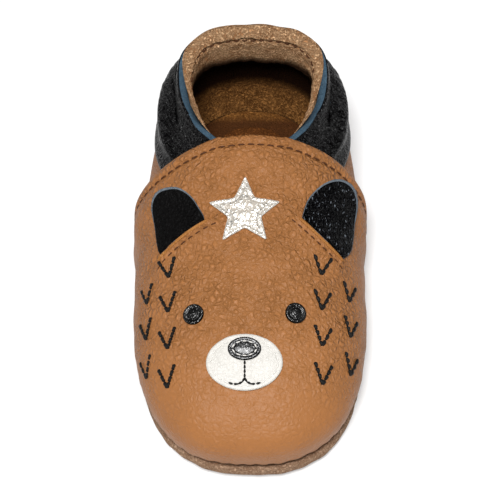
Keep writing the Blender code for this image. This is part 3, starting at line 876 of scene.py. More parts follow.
def slide_back(points, back, drop=0.0):
    """Moves points back along the dome of the last, which they rise with, less a drop."""
    x, y = points[..., 0], points[..., 1]
    rise = dome_height(x, y + back) - dome_height(x, y) - drop
    return points + np.stack([np.zeros_like(rise), np.broadcast_to(back, rise.shape), rise], -1)


def vamp_way(way, wall):
    """The way of a column of the vamp, bowed back so that the rear edge is one smooth arc."""
    up = np.clip((wall - TUCK) / (1 - TUCK), 0, 1)
    bow = np.where(way < 0, VAMP_BOW_OUTER, VAMP_BOW_INNER)
    return way * (1 + bow / SPLIT * 4 * up * (1 - up))


def vamp_point(way, wall):
    """A point of the last under the vamp, where the throat is bowed back a little too."""
    way, wall = np.broadcast_arrays(np.asarray(way, float), np.asarray(wall, float))
    back = VAMP_THROAT_BOW * (1 - (way / SPLIT) ** 2) * smoothstep(0.8, 1, wall)
    return slide_back(last_point(vamp_way(way, wall), wall), back)


EDGE_LINE = np.concatenate([
    vamp_point(-SPLIT, np.linspace(0, 1, 500)),
    vamp_point(np.linspace(-SPLIT, SPLIT, 200), 1),
    vamp_point(SPLIT, np.linspace(1, 0, 500)),
])

# %% Seams of the ears
# Outlines of the ears, as shares of EAR_WIDTH across and EAR_LENGTH along from the ear's place.
# The first EAR_SEAM points are the seam that holds the ear.
EAR_SEAM = 6
OUTER_EAR = np.array([
    (-0.302, -0.510), (-0.140, -0.443), (0.041, -0.343), (0.210, -0.267), (0.379, -0.200),
    (0.491, -0.167), (0.487, -0.073), (0.407, 0.057), (0.321, 0.181), (0.220, 0.279),
    (0.093, 0.347), (-0.068, 0.369), (-0.214, 0.355), (-0.328, 0.289), (-0.398, 0.175),
    (-0.421, 0.037), (-0.415, -0.117), (-0.387, -0.282), (-0.350, -0.422),
])
INNER_EAR = np.array([
    (-0.513, -0.133), (-0.387, -0.210), (-0.250, -0.290), (-0.113, -0.367), (0.031, -0.443),
    (0.175, -0.524), (0.278, -0.498), (0.393, -0.398), (0.474, -0.238), (0.505, -0.034),
    (0.486, 0.164), (0.420, 0.341), (0.293, 0.482), (0.119, 0.545), (-0.052, 0.515),
    (-0.203, 0.434), (-0.328, 0.316), (-0.430, 0.179), (-0.487, 0.042), (-0.515, -0.059),
])


def template(outline):
    """An ear's template, from shares to places on the leather."""
    side = -1 if outline is OUTER_EAR else 1
    place = (EAR_SHIFT + side * EAR_ACROSS, vamp_station(EAR_PLACE))
    return outline * (EAR_WIDTH, EAR_LENGTH) + place


def seam_line(side):
    """An ear's seam: its start, length, direction, the direction behind it, and its bow."""
    seam = EARS[side][:EAR_SEAM]
    run = seam[-1] - seam[0]
    length = np.linalg.norm(run)
    along, back = run / length, np.array([-run[1], run[0]]) / length
    bow = np.polyfit((seam - seam[0]) @ along / length, (seam - seam[0]) @ back, 2)
    return seam[0], length, along, back, bow


def ear_frame(side, across, y):
    """Places seen from an ear's seam: a share along it, and the distance behind it."""
    start, length, along, back, bow = seam_line(side)
    from_start = np.stack([across - start[0], y - start[1]], -1)
    share = from_start @ along / length
    return share, from_start @ back - np.polyval(bow, share)


def seam_place(side, share, behind):
    """The place on the leather at a share along an ear's seam, and a distance behind it."""
    start, length, along, back, bow = seam_line(side)
    places = start + np.outer(share * length, along)
    places += np.outer(np.polyval(bow, share) + behind, back)
    return places[:, 0], places[:, 1]


EARS = {-1: template(OUTER_EAR), 1: template(INNER_EAR)}

# %% Relief of the vamp
STITCH_IN = 0.0033
GROOVE, GROOVE_WIDTH = 0.00042, 0.00055
SWELL, SWELL_IN, SWELL_WIDTH = 0.00030, 0.0016, 0.0011
EAR_STEP, STEP_REACH = 0.00125, 0.0080
SLIT_STITCH_IN = 0.0019
SEWN_IN, SEWN_SINK, SEWN_WIDTH = 0.0018, 0.00030, 0.0006
EAR_SINK, EAR_SINK_REACH = 0.00035, 0.0040


def vamp_relief(across, y, away):
    """How far the vamp's outer face stands above its plain thickness."""
    swell = SWELL * bell(away, SWELL_IN, SWELL_WIDTH)
    total = swell - GROOVE * bell(away, STITCH_IN, GROOVE_WIDTH)
    for side in (-1, 1):
        share, behind = ear_frame(side, across, y)
        ends = smoothstep(-0.40, 0.02, share) * (1 - smoothstep(0.98, 1.40, share))
        front = np.where(behind < 0, 1 - smoothstep(0, STEP_REACH, -behind), 0)
        sewn = bell(behind, -SEWN_IN, SEWN_WIDTH)
        sink = np.where(behind >= 0, bell(behind, 0, EAR_SINK_REACH), 0)
        total += (EAR_STEP * front - SEWN_SINK * sewn - EAR_SINK * sink) * ends
    return total


def vamp_rise(points, away):
    """How far the vamp is held off by the band's tucked ends."""
    over_band = BAND_WALL + GAP + VAMP_CLEAR
    below_band = 0.6 * (1 - smoothstep(0.34, 0.54, points[..., 2] / COLLAR_HEIGHT))
    return over_band * (1 - below_band) * (1 - smoothstep(BAND_TUCK, VAMP_SETTLE, away))


def on_vamp(across, y, out=0.0):
    """Points on the vamp's outer face, or out from it, and the face's directions there."""
    across, y = np.broadcast_arrays(np.asarray(across, float), np.asarray(y, float))
    x = x_of(across, y)
    small = STEP / 10
    slope_x = (dome_height(x + small, y) - dome_height(x - small, y)) / (2 * small)
    slope_y = (dome_height(x, y + small) - dome_height(x, y - small)) / (2 * small)
    normal = unit(np.stack([-slope_x, -slope_y, np.ones_like(x)], -1))
    point = np.stack([x, y, dome_height(x, y)], -1)
    away = away_from(point, EDGE_LINE)
    height = UPPER_WALL + GAP + vamp_rise(point, away) + VAMP_WALL
    return off(point, normal, height + vamp_relief(across, y, away) + out), normal

# %% [markdown]
# ## The vamp
# One sheet of tan hide, about 1.2 mm thick. Near the sole it is gathered into the seam, which
# leaves small puckers round the toe. A cloth simulation could drape it over the last, but the
# real hide is wetted and takes the last's form, so a grid laid on the last is closer to it, and
# every groove and step lands where the pattern puts it.

# %% Vamp
PUCKER, PUCKERS = 0.00016, 44
UNEVEN = 0.00016
TUCKED_IN, EDGE_ROUND, UNDER_ROUND = 0.0006, 0.0006, 0.0004


def make_vamp():
    foot = TUCK * (VAMP_FOOT - FEATHER_HEIGHT) / (BULGE_HEIGHT - FEATHER_HEIGHT)
    walls = np.r_[np.linspace(foot, TUCK, 16)[:-1], spaced(TUCK, 1, 170, 0.45)][:, None]
    ways = spaced(-SPLIT, SPLIT, 236, 0.55)[None, :]
    base, normal = vamp_point(ways, walls), outward_at(vamp_way(ways, walls), walls)
    away = away_from(base, EDGE_LINE)
    relief = vamp_relief(across_of(base[..., 0], base[..., 1]), base[..., 1], away)
    relief = np.where(walls < TUCK, 0, relief)
    low = 1 - smoothstep(foot, TUCK * 1.25, walls)
    puckers = PUCKER * np.sin(ways * 2 * np.pi * PUCKERS + 2 * ripple(base, 0.02, 3)) * low
    soft = UNEVEN * ripple(base, 0.013, 5) * smoothstep(0, 0.006, away)
    seam = np.where(walls < TUCK, TUCKED_IN * (1 - smoothstep(foot, foot + 0.04, walls)), 0)
    under = UPPER_WALL + GAP + vamp_rise(base, away)
    above = under + VAMP_WALL + relief + puckers + soft - rounding(away, EDGE_ROUND) - seam
    under += rounding(away, UNDER_ROUND)
    skin("vamp_hide", off(base, normal, above), off(base, normal, under),
         [TAN_LEATHER, TAN_EDGE, TAN_EDGE], ("vamp",))


make_vamp()
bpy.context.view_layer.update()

# %% [markdown]
# ## The body of the shoe
# Under the vamp and the band is the shoe's body. Its outside is the same tan hide, which shows
# at the heel below the band. Its inside shows the suede side. It is one grid that runs once
# round the shoe, so that it has no seam of its own. A strip of suede faces the throat.

# %% Body
BODY_SOFT, BODY_NAP, BODY_RIM = 0.00022, 0.00012, 0.0005
BODY_BACK, BODY_DROP = 0.0010, 0.0006


def ring_ways(count):
    """Ways once round the shoe, from the heel round the outer side, the toe and back."""
    return np.linspace(-1, 1, count, endpoint=False)


def make_body():
    ways = ring_ways(360)[None, :]
    # under the band's folded top, the body's own top edge stops a little lower
    top = 1 - 0.045 * smoothstep(SPLIT - 0.03, SPLIT - 0.005, np.abs(ways))
    share = spaced(0, 1, 110, 0.3)[:, None]
    base, normal = on_last(ways, share * top)
    soft = BODY_SOFT * ripple(base, 0.016, 11)
    rim = BODY_RIM * smoothstep(0.985, 1, share)
    nap = BODY_NAP * ripple(base, 0.004, 12)
    # the throat stands back a little further than the vamp that lies on it
    front = np.clip(1 - (ways / SPLIT) ** 2, 0, None) ** 0.5
    back = (VAMP_THROAT_BOW + BODY_BACK) * front * smoothstep(0.9, 1, share)
    drop = BODY_DROP * (back / 0.0057) ** 2
    outer, inner = [slide_back(off(base, normal, height), back, drop)
                    for height in (UPPER_WALL + soft - rim, nap)]
    skin("body_hide", outer, inner, [HEEL_LEATHER, INNER_SUEDE_AND_SHADE, TAN_EDGE],
         ("upper",), closed=True)


make_body()

# %% Throat facing
FACING_BACK, FACING_SKIVED = 0.0056, 0.0040
FACING_DROP = 0.0008
FACING_OUT, FACING_IN = -0.0003, -0.0014


def make_throat_facing():
    """The suede facing inside the throat, which shows as a brown strip behind the vamp."""
    ways = np.linspace(-0.97, 0.97, 160)[None, :] * SPLIT
    share = np.r_[np.linspace(0, 0.9, 24), 0.94, 0.97, 0.985, 1][:, None]
    base, normal = on_last(ways, 0.93 + 0.07 * share)
    ends = (np.abs(ways) / SPLIT) ** 4
    back = VAMP_THROAT_BOW * (1 - (ways / SPLIT) ** 2) + FACING_BACK - FACING_SKIVED * ends
    drop = FACING_DROP * share**2 * (1 - (ways / SPLIT) ** 6)
    base = slide_back(base, back * share, drop)
    base[..., 0] *= 1 + 0.07 * share * ends
    nap = 0.00014 * ripple(base, 0.004, 15)
    fall = rounding((1 - share) * 0.006, 0.0005)
    skin("throat_facing", off(base, normal, FACING_OUT - fall + nap),
         off(base, normal, FACING_IN + 0.5 * fall), [THROAT_SUEDE] * 3)


make_throat_facing()

# %% [markdown]
# ## The ankle band
# A black band with elastic sewn into it. The elastic draws the leather into small gathers that
# run down from the collar. The band is padded, and its lower edge is turned under, which makes
# a rounded welt along the seam. Simulated elastic would give folds of chance widths. Waves that
# are added along the band give gathers of the real size, and stop at its edges as they should.

# %% Ankle band
FOLD, SMALL_FOLD = 0.00024, 0.00020
WELT, DIP = 0.00090, 0.00060
TURNED_UNDER = 0.0009
RIM_WAVE = 0.0003


def rear_ways(count, front_end):
    """Ways from the vamp's edge on the inner side, round the heel, to the outer side."""
    inner = np.linspace(front_end, 1, count)
    return np.r_[inner, -inner[-2::-1]]


def rim_wave(base, share):
    """The rise and fall of the collar's edge, shared by the band and the lining."""
    return RIM_WAVE * ripple(base * (1, 1, 0.3), 0.011, 23) * smoothstep(0.8, 1, share)


def band_puff(ways, share):
    """How far the padded band stands off the body, behind the vamp's edge."""
    behind = smoothstep(SPLIT + 0.02, 0.63, np.abs(ways))
    return np.sin(np.pi * share) * behind * BAND_PUFF


def band_gathers(base, ways, share):
    """Folds that lean a little as they run down the band, deepest below its middle."""
    length = np.linalg.norm(np.diff(base, axis=1), axis=-1)
    along = np.concatenate([np.zeros((len(base), 1)), np.cumsum(length, axis=1)], axis=1)
    slant = along + 0.004 * share * np.sign(ways)
    down, none = share * np.ones_like(slant), np.zeros_like(slant)
    folds = FOLD * ripple(np.stack([slant, 0.008 * down, none], -1), 0.0026, 21)
    folds += SMALL_FOLD * ripple(np.stack([slant, 0.006 * down, none], -1), 0.0014, 22)
    strength = (bell(share, 0.36, 0.20) + 0.25) * (1 - smoothstep(0.88, 1, share))
    return folds * strength * smoothstep(0.22, 0.36, share)


def make_band():
    front_length = np.ptp(OUTLINES[1][:, 1]) * side_share(1)
    ways = rear_ways(190, SPLIT - SPLIT * BAND_TUCK / front_length)[None, :]
    seam = read_table(BAND_SEAM, np.abs(ways))[..., 0]
    share = np.r_[0, 0.004, 0.012, np.linspace(0.025, 0.965, 84), 0.975, 0.985, 0.993, 1][:, None]
    walls = seam + (1 - seam) * share
    base, normal = last_point(ways, walls), soften(outward_at(ways, walls), 40)
    visible = smoothstep(SPLIT, 0.54, np.abs(ways))
    welt = WELT * bell(share, 0.27, 0.055) - DIP * bell(share, 0.15, 0.060)
    turned = TURNED_UNDER * np.clip(1 - share / 0.02, 0, 1) ** 2
    rolled = rounding(1 - share, 0.02) / 0.02 * 0.0004
    under = UPPER_WALL + GAP + band_puff(ways, share)
    above = under + BAND_WALL + (band_gathers(base, ways, share) + welt) * visible
    outer = off(base, normal, above - turned - rolled)
    # the raw top edge is as wide as the band and the body together
    over = smoothstep(0.955, 0.975, share) * smoothstep(SPLIT - 0.03, SPLIT - 0.005, np.abs(ways))
    low_side = 1 - smoothstep(0.56, 0.68, np.abs(ways))
    inner = off(base, normal, under * (1 - over) + (0.0002 - 0.0008 * low_side) * over)
    for grid in (outer, inner):
        grid[..., 2] += rim_wave(base, share)
    # where the collar runs down to the throat, the edge is skived and shows more of the blue
    skived = np.round(9 * (1 - smoothstep(0.55, 0.64, np.abs(ways[0, 1:]))))
    skin("band_hide", outer, inner, [BLACK_LEATHER, BLUE_EDGE, BLUE_EDGE],
         ("ankle_band",), rim=skived)


make_band()

# %% [markdown]
# ## The collar lining
# A strip of suede faces the inside of the collar. It is folded over the top at the heel, so
# that the black hide's blue edge is only a thin line there, and it is stitched through a few
# millimetres below the top, which makes a soft roll above the stitches. It is a grid like the
# band, but with its two faces shaped apart. Shares run from its lower edge to the collar.

# %% Collar lining
STITCH_SHARE, STITCH_SINK = 0.80, 0.00110
HANG, HANG_FROM, HEEL_BELOW = 0.85, 0.80, -0.45
LINING_SKIVED, LINING_RISE = 0.00142, 0.0012


def make_lining():
    ways = rear_ways(200, SPLIT)[None, :]
    heel = smoothstep(0.66, 0.82, np.abs(ways))
    # at the heel the lining hangs a little lower than at the sides
    below = HEEL_BELOW * heel
    share = below + (0.94 - below) * np.linspace(0, 1, 76)[:, None]
    share = np.r_[share, np.repeat([[0.955], [0.97], [0.98], [0.99], [1]], ways.shape[1], 1)]
    walls = 1 - LINING_DEPTH + LINING_DEPTH * share
    base, normal = last_point(ways, walls), soften(outward_at(ways, walls), 40)
    low_side = 0.0011 * (1 - smoothstep(0.58, 0.72, np.abs(ways))) * smoothstep(0.3, 0.9, share)
    sewn = STITCH_SINK * bell(share, STITCH_SHARE, 0.024)
    plump = 0.0003 * bell(share, 0.94, 0.06)
    nap = 0.00022 * ripple(base, 0.0032, 31) + 0.00030 * ripple(base, 0.011, 32)
    skived = LINING_SKIVED * (1 - smoothstep(0, 0.5, share)) * (1 - heel)
    folded = 0.0009 * smoothstep(0.90, 1, share) ** 2
    thick = GAP + LINING_WALL + plump - sewn + nap - skived + low_side - folded
    over = smoothstep(0.955, 0.98, share)
    cover = (UPPER_WALL + GAP + 0.5 * BAND_WALL) * heel * over
    face = off(base, normal, -thick)
    back = off(base, normal, cover - GAP - low_side * 0.9)
    # the elastic pulls it in, so it hangs nearly straight down from the collar at the heel
    upright = int(np.argmin(np.abs(share[:, 0] - HANG_FROM)))
    hang = heel * smoothstep(HANG_FROM, 0.45, share) * (1 - 0.7 * smoothstep(-0.15, -0.45, share))
    face[..., :2] += (face[upright, :, :2] - face[..., :2]) * (HANG * hang)[..., None]
    rise = (LINING_RISE * heel + 0.0002) * smoothstep(0.93, 1, share)
    face[..., 2] += rise * 0.55 + rim_wave(base, share)
    back[..., 2] += rise + rim_wave(base, share)
    skin("lining_suede", back, face, [LINING_SUEDE_AND_SHADE] * 3, ("band_lining",))


make_lining()

# %% [markdown]
# ## The sole and the insole
# The sole is a soft suede tray: flat where it stands, turned up at the toe, with a low rounded
# edge that is sewn to the upper. The insole is a suede sock over thin foam, a little domed.
# Each is a profile that is carried round the shoe and closed with rings that shrink inwards,
# because a plain extruded outline would have neither the round edge nor the toe spring.

# %% Sole
LIP = np.array([
    # out     height: from the inside of the lip, over it and under the sole
    [-0.0009, 0.0022],
    [-0.0002, 0.0028],
    [0.0000, 0.0036],
    [0.0003, 0.0041],
    [0.0009, 0.0044],
    [0.0015, 0.0043],
    [0.0020, 0.0037],
    [0.00225, 0.0029],
    [0.0023, 0.0021],
    [0.0021, 0.0013],
    [0.0016, 0.0006],
    [0.0009, 0.0002],
    [-0.0002, 0.0],
])


def sole_points(ways, out, height):
    """Points round the sole: out from the upper's lower edge, at heights over the floor."""
    feather, outward = last_point(ways, 0), outward_at(ways, TUCK)[..., :2]
    plan = off(feather[..., :2], unit(outward), out)
    return np.column_stack([plan, height + feather[..., 2] - FEATHER_HEIGHT])


def flat_ring(edge, share, height, uneven=0.0):
    """A ring drawn in from an edge to a share of its size, at a height over the floor."""
    plan = edge[:, :2] * share
    bumps = uneven * ripple(in_space(plan), 0.010, 51)
    return np.column_stack([plan, height + bumps + lift(plan[:, 1])])


def make_sole():
    ways = ring_ways(420)
    seat = UPPER_WALL + GAP + SOLE_SEAT + SOLE_TOE_BULGE * bell(ways, 0.05, 0.20)
    edge = []
    for out, height in smooth_through(LIP, 4):
        place = np.column_stack([ways * 0.3, ways * 0, ways * 0 + out])
        swell = 0.00020 * ripple(place, 0.012, 41) * smoothstep(-0.0002, 0.0012, out)
        edge.append(sole_points(ways, seat + out + swell, height))
    inwards = np.linspace(1, 0.02, 34)[1:]
    floor = [flat_ring(edge[0], share, SOLE_WALL) for share in inwards[::-1]]
    under = [flat_ring(edge[-1], share, 0) for share in inwards]
    rings = floor + edge + under
    make_piece("sole_suede_edge", rings, tube_faces(len(rings), len(ways)), [SOLE_SUEDE],
               ("sole",))


make_sole()

# %% Insole
def make_insole():
    ways = ring_ways(300)
    edge = sole_points(ways, -INSOLE_CLEAR, SOLE_WALL + GAP)
    below = ((0.02, 0), (0.5, 0), (0.97, 0), (0.995, 0.0004), (1.0, 0.0011))
    rings = [flat_ring(edge, share, SOLE_WALL + GAP + height) for share, height in below]
    for share in np.r_[1.0, 0.997, 0.985, np.linspace(0.965, 0.02, 40)]:
        fall = 0.0006 * smoothstep(0.955, 1, share) ** 2 + 0.0006 * (1 - share)
        height = SOLE_WALL + GAP + INSOLE_WALL - fall
        rings.append(flat_ring(edge, share, height, 0.00018))
    faces = [face[::-1] for face in tube_faces(len(rings), len(ways))]
    make_piece("insole_sock", rings, faces, [INSOLE_SUEDE_AND_SHADE], ("insole",))


make_insole()

# %% [markdown]
# ## Thread
# A row of stitches is many short stretches of thread, each of which comes up through one hole
# and goes down through the next. Each stretch is a tube whose ends dive into the leather, and
# its skin is twisted like two plies. Copies of one stitch would be quicker, but a tube of its
# own lets each one follow the leather's curve.

# %% Stitches
RINGS, SIDES = 11, 10
PLY, PLY_TURN = 0.16, 5.5


def stitch_rings(start, end, normal, radius, arch):
    """The rings of one stitch's tube, twisted and arched over the leather."""
    along = np.linspace(0, 1, RINGS)[:, None]
    turn = np.linspace(0, 2 * np.pi, SIDES, endpoint=False)[None, :]
    run = end - start
    length = np.linalg.norm(run)
    aside = np.cross(normal, unit(run))
    twist = along * length / (radius * PLY_TURN) * 2 * np.pi
    taper = np.clip(np.sin(np.pi * np.clip(along, 0.02, 0.98)) * 2.2, 0.35, 1)
    wide = radius * (1 + PLY * np.cos(2 * (turn - twist))) * taper
    height = radius * (arch * np.sin(np.pi * along) ** 0.5 * 1.5 - 0.55)
    centre = start + run * along + normal * height
    ring = off(centre[:, None, :], aside, np.cos(turn) * wide)
    return off(ring, normal, np.sin(turn) * wide * 0.85)


def sew(name, lines, finish, pitch, radius, fill=0.78, arch=0.7):
    """Rows of stitches. A line is rows of point and normal, six numbers in each."""
    tubes, faces = [], []
    for line in lines:
        holes = resample(line, pitch)
        for a, b in zip(holes, holes[1:]):
            gap = (b[:3] - a[:3]) * (1 - fill) / 2
            faces += tube_faces(RINGS, SIDES, len(tubes) * RINGS * SIDES)
            normal = unit(a[3:] + b[3:])
            tubes.append(stitch_rings(a[:3] + gap, b[:3] - gap, normal, radius, arch))
    make_piece(name, tubes, faces, [finish])


def vamp_path(across, y, out=0.0):
    """A line for sewing on the vamp, from places on the leather."""
    return np.concatenate(on_vamp(across, y, out), -1)

# %% [markdown]
# The vamp's rear edge is topstitched in brown, 3.3 mm in. The line of holes is found by walking
# the last's surface at that distance from the edge.

# %% Topstitch of the vamp
def edge_stitch_line():
    """Points 3.3 mm in from the vamp's rear edge, from one side over the throat to the other."""
    sides = []
    for side in (-1, 1):
        ways, found = side * np.linspace(0.12, SPLIT, 240), []
        for wall in np.r_[np.linspace(0.16, 0.90, 60), np.linspace(0.905, 0.985, 30)]:
            far = np.nonzero(away_from(vamp_point(ways, wall), EDGE_LINE) >= STITCH_IN)[0]
            if len(far) and far[-1]:
                found.append((ways[far[-1]], wall))
        sides.append(found[::-side])
    left, right = sides
    top = []
    walls = np.linspace(0.9, 1, 160)
    for way in np.linspace(left[-1][0], right[0][0], 40)[1:-1]:
        away = away_from(vamp_point(way, walls), EDGE_LINE)
        top.append((way, walls[np.nonzero(away >= STITCH_IN)[0][-1]]))
    way, wall = np.array(left + top + right).T
    point, normal = vamp_point(way, wall), outward_at(vamp_way(way, wall), wall)
    rise = vamp_rise(point, away_from(point, EDGE_LINE))
    height = UPPER_WALL + GAP + rise + VAMP_WALL - 0.00012
    return np.concatenate([off(point, normal, height), normal], -1)


sew("edge_topstitch", [edge_stitch_line()], BROWN_THREAD, 0.0029, 0.00025, 0.74)

# %% [markdown]
# ## The ears
# Each ear is a leaf of black hide caught in its slit. The slit's front lip is the cut edge of
# the tan hide, sewn down with a row of brown stitches close in front of it. The outer ear is
# matt, and the inner one was cut from a glossier part of the hide. A leaf is stretched between
# its seam and its free edge as a grid, which lifts off the vamp more the further back it goes.

# %% Ears
EAR_COLUMNS, NEAR = 72, 0.0002
EAR_CUP, EAR_WAVE, EAR_TUCK, EAR_ROUND, EAR_CLEAR = 0.0006, 0.00012, 0.0009, 0.0005, 0.00008


def make_ear(name, side, finish, node):
    """A leaf of hide from its seam to its free edge, which lifts and curls back a little."""
    shape = EARS[side]
    free_edge = np.r_[shape[EAR_SEAM - 1:], shape[:1]][::-1]
    seam, free = [resample(smooth_through(line, 6), count=EAR_COLUMNS)
                  for line in (shape[:EAR_SEAM], free_edge)]
    rows = np.r_[np.linspace(0, 0.90, 40), 0.93, 0.95, 0.965, 0.98, 0.99, 1][:, None, None]
    flat = seam + (free - seam) * rows
    behind = np.clip(ear_frame(side, flat[..., 0], flat[..., 1])[1], 0, None)
    share = behind / behind.max()
    curl = EAR_LIFT * (0.35 * share + 0.65 * share**2)
    cup = EAR_CUP * np.sin(share * np.pi) * np.sin(np.linspace(0, 1, EAR_COLUMNS) * np.pi)
    fall = rounding(away_from(flat, resample(free, NEAR)), EAR_ROUND)
    bottom, normal = on_vamp(flat[..., 0], flat[..., 1])
    wave = EAR_WAVE * ripple(bottom, 0.006, 61)
    tuck = EAR_TUCK * bell(behind, 0, 0.0012)
    raised = EAR_CLEAR + curl - cup
    skin(name, off(bottom, normal, raised + EAR_WALL + wave - fall - tuck),
         off(bottom, normal, raised + 0.4 * fall), [finish, GREY_EDGE, GREY_EDGE],
         (node,), rim=4)


make_ear("outer_ear_leaf", -1, EAR_MATT, "ear_outer")
make_ear("inner_ear_leaf", 1, EAR_GLOSS_AND_GLINTS, "ear_inner")

# %% Slit lips and their stitches
LIP_RINGS, LIP_SIDES = 90, 12
LIP_WIDE, LIP_TALL = 0.00050, 0.00036


def slit_path(side, beyond, count, in_front):
    """A line in front of an ear's seam, which runs on beyond it at both ends."""
    share = np.linspace(-beyond, 1 + beyond, count)
    return vamp_path(*seam_place(side, share, -in_front))


def make_lip(name, side):
    """The pale cut edge of the tan hide along the front of a slit."""
    point, normal = np.split(slit_path(side, 0.10, LIP_RINGS, 0.00030), 2, axis=1)
    ahead = unit(np.gradient(point, axis=0))
    turn = np.linspace(0, 2 * np.pi, LIP_SIDES, endpoint=False)
    ends = np.clip(8 * np.sin(np.linspace(0, np.pi, LIP_RINGS)), 0.1, 1)[:, None]
    ring = off(point[:, None], np.cross(normal, ahead)[:, None], LIP_WIDE * ends * np.cos(turn))
    ring = off(ring, normal[:, None], LIP_TALL * ends * np.sin(turn))
    make_piece(name, ring, tube_faces(LIP_RINGS, LIP_SIDES), [TAN_EDGE])


make_lip("outer_slit_lip", -1)
make_lip("inner_slit_lip", 1)
sew("slit_stitches", [slit_path(side, 0.22, 60, SLIT_STITCH_IN) for side in (-1, 1)],
    BROWN_THREAD, 0.0025, 0.00022, 0.72)

# %% [markdown]
# ## The face
# The face is a plain bear cub in sewn-on hide: round eyes, a white muzzle with a small nose and
# a stitched mouth, and a silver star above. Each patch is a flat piece of hide with a rounded
# cut edge, held down by a row of stitches just inside it. A shrinkwrap modifier could press it
# onto the vamp. The map does it better, because it keeps the patch's real size on the leather.

# %% Outlines of the patches
def oval(width, length, count):
    """An oval outline, as many points round it as counted."""
    turn = np.linspace(-np.pi, np.pi, count, endpoint=False)
    return np.column_stack([np.cos(turn) * width / 2, np.sin(turn) * length / 2])


def star(width, points=5, steps=16):
    """A star with slightly rounded points, as scissors leave it."""
    turn = np.linspace(0, 2 * np.pi, 2 * points, endpoint=False) - np.pi / 2
    reach = np.where(np.arange(2 * points) % 2 == 0, 0.24, 0.52) * width
    corners = np.column_stack([np.cos(turn) * reach, np.sin(turn) * reach])
    share = np.linspace(0, 1, steps, endpoint=False)[:, None]
    line = np.concatenate([a + (b - a) * share
                           for a, b in zip(corners, np.roll(corners, -1, axis=0))])
    kernel = np.array([1, 2, 3, 2, 1]) / 9
    around = np.concatenate([line[-2:], line, line[:2]])
    return np.stack([np.convolve(column, kernel, "valid") for column in around.T], -1)

# %% Patches
RIM_ROWS, RIM_ROUND, GROOVE_REACH, PATCH_PLUMP = 3, 0.00045, 0.0004, 0.00012


def patch(name, outline, centre, out, wall, finish, edge_finish, node, sewn_in=0.0012,
          groove=0.00016, wobble=0.0):
    """A sewn-on patch of hide from its flat outline, rounded at its edge."""
    shares = 1 - np.r_[0, 0.008, 0.02, 0.04, 0.07, 0.11, np.linspace(0.15, 0.98, 18)]
    flat = outline[None] * shares[:, None, None]
    away = away_from(flat, resample(np.concatenate([outline, outline[:1]]), NEAR))
    places = flat + centre
    bottom, normal = on_vamp(places[..., 0], places[..., 1], out)
    sink = groove * bell(away, sewn_in, GROOVE_REACH)
    plump = PATCH_PLUMP * smoothstep(sewn_in, 3 * sewn_in, away)
    uneven = wobble * ripple(bottom, 0.004, 71)
    top = off(bottom, normal, wall - rounding(away, RIM_ROUND) - sink + plump + uneven)
    low = off(bottom, normal, -0.00012)
    rings, count = flat.shape[:2]
    faces = [face[::-1] for face in tube_faces(2 * rings, count)]
    finish_of = np.zeros(len(faces))
    finish_of[(rings - 1) * count:(rings + RIM_ROWS) * count] = 1
    make_piece(name, np.concatenate([low[::-1], top]), faces, [finish, edge_finish],
               (node,), finish_of)


def patch_path(outline, centre, by, out):
    """A line for sewing, drawn in from a patch's outline by a distance."""
    closed = np.concatenate([outline[-1:], outline, outline[:1]])
    run = closed[2:] - closed[:-2]
    inward = unit(np.stack([-run[:, 1], run[:, 0]], -1))
    line = outline + inward * by + centre
    return vamp_path(*np.concatenate([line, line[:1]]).T, out)

# %% Eyes, muzzle, nose and star
MUZZLE, NOSE, STAR = [np.array([FACE_SHIFT, vamp_station(place)])
                      for place in (MUZZLE_PLACE, NOSE_PLACE, STAR_PLACE)]
eye = oval(EYE_WIDTH, EYE_WIDTH, 72)
muzzle = oval(MUZZLE_WIDTH, MUZZLE_LENGTH, 144)
nose = oval(NOSE_WIDTH, NOSE_LENGTH, 96)
foil_star = star(STAR_WIDTH)

for side, word in ((-1, "outer"), (1, "inner")):
    centre = np.array([FACE_SHIFT + side * EYE_ACROSS, vamp_station(EYE_PLACE)])
    patch(word + "_eye_disc", eye, centre, 0.0, EYE_WALL, BLACK_POLISHED, EAR_MATT,
          "eye_" + word, 0.0012, 0.0003)
patch("muzzle_hide", muzzle, MUZZLE, 0.0, PATCH_WALL, WHITE_LEATHER, WHITE_EDGE,
      "muzzle_patch")
patch("nose_hide", nose, NOSE, PATCH_WALL, PATCH_WALL, BLACK_POLISHED, EAR_MATT,
      "nose_patch", 0.0011)
patch("star_foil", foil_star, STAR, 0.0, PATCH_WALL, SILVER_FOIL, WHITE_EDGE,
      "star_patch", 0.0010, 0.00018, 0.00012)

# %% Stitches of the face
MOUTH_DOWN, MOUTH_WIDE, MOUTH_DEEP, MOUTH_TURN = 0.0042, 0.0026, 0.0017, 2.3

sew("muzzle_stitches", [patch_path(muzzle, MUZZLE, 0.0012, PATCH_WALL)], WHITE_THREAD,
    0.0022, 0.00022, 0.72)
sew("star_stitches", [patch_path(foil_star, STAR, 0.0011, PATCH_WALL)], WHITE_THREAD,
    0.0020, 0.00018, 0.72)
sew("nose_stitches", [patch_path(nose, NOSE, 0.0011, 2 * PATCH_WALL)], WHITE_THREAD,
    0.0019, 0.00018, 0.66)


def mouth_lines():
    """A short line down from the nose, and a curve to each side of it."""
    x, y = MUZZLE - (0, MOUTH_DOWN)
    lines = [vamp_path(x, np.linspace(NOSE[1] - NOSE_LENGTH / 2, y, 12), PATCH_WALL)]
    turn = np.linspace(0, MOUTH_TURN, 16)
    for side in (-1, 1):
        curve = side * MOUTH_WIDE * (1 - np.cos(turn))
        lines.append(vamp_path(x + curve, y - MOUTH_DEEP * np.sin(turn), PATCH_WALL))
    return lines


sew("mouth_stitches", mouth_lines(), BLACK_THREAD, 0.0014, 0.00030, 1.15)

# %% [markdown]
# The fur is drawn in thick black thread: open V shapes in two staggered rows on each
# cheek. Each stroke is back-stitched, so it reads as a short chain of beads.

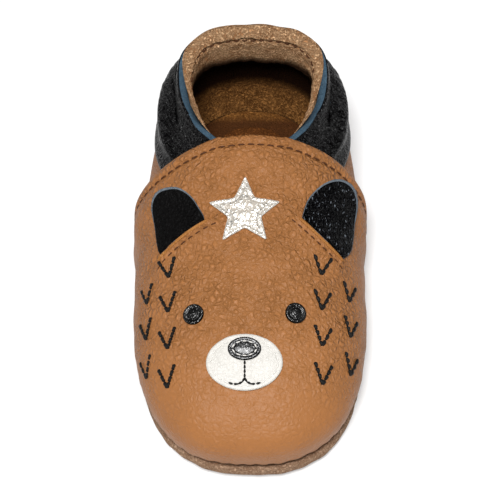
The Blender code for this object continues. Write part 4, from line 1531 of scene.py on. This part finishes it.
# %% Fur stitches
FUR_ROWS, FUR_FROM, FUR_PITCH, FUR_STAGGER = (0.0215, 0.0298), -0.0495, 0.0102, 0.0050
FUR_SPREAD, FUR_LENGTH = 0.0025, 0.0056


def fur_lines():
    """V shapes on both cheeks, whose points face the toe."""
    lines, share = [], np.linspace(0, 1, 8)
    for side in (-1, 1):
        for row, across in enumerate(FUR_ROWS):
            x = FACE_SHIFT * (1 - row / 2) + side * across
            lean = side * (0.0004 + 0.0003 * row)
            for number in range(4 - row):
                y = FUR_FROM + FUR_PITCH * number + FUR_STAGGER * row
                lines += [vamp_path(x + (spread + lean) * share, y + FUR_LENGTH * share)
                          for spread in (-FUR_SPREAD, FUR_SPREAD)]
    return lines


sew("fur_stitches", fur_lines(), BLACK_THREAD, 0.00185, 0.00052, 1.10)

# %% [markdown]
# ## Collar stitches
# The lining is stitched through near the top, and the band's welt is sewn to the body. Both
# lines of holes follow the last, at the height of the face that they are sewn on.

# %% Collar stitches
BAND_STITCH_SHARE, SUNK, BAND_SUNK = 0.06, 0.0001, 0.0003


def lining_path():
    """A line on the lining's inner face."""
    point, normal = on_last(rear_ways(120, 0.53), 1 + LINING_DEPTH * (STITCH_SHARE - 1))
    return np.concatenate([off(point, normal, SUNK - GAP - LINING_WALL), -normal], -1)


def band_path():
    """A line low on the band's outer face."""
    ways = rear_ways(140, 0.515)
    seam = read_table(BAND_SEAM, np.abs(ways))[:, 0]
    point, normal = on_last(ways, seam + (1 - seam) * BAND_STITCH_SHARE)
    height = UPPER_WALL + GAP + band_puff(ways, BAND_STITCH_SHARE) + BAND_WALL - BAND_SUNK
    return np.concatenate([off(point, normal, height), normal], -1)


sew("lining_stitches", [lining_path()], BROWN_THREAD, 0.0026, 0.00028, 0.66)
sew("band_stitches", [band_path()], BLACK_THREAD, 0.0028, 0.00022)

# %% [markdown]
# ## The table top
# A plain pale floor. It is a light table, lit a little from below as well, so that it reads as
# white in the picture and the shoe's shadow on it stays faint.

# %% Floor
bpy.ops.mesh.primitive_plane_add(size=6.0, location=(0.0, 0.0, -0.0002))
floor = bpy.context.object
floor.name = "floor"
floor.data.materials.append(new_finish("white light table", {
    "Base Color": linear("#CFCFCF"), "Roughness": 0.9, "Emission Color": (1, 1, 1, 1),
    "Emission Strength": 0.30})[0])
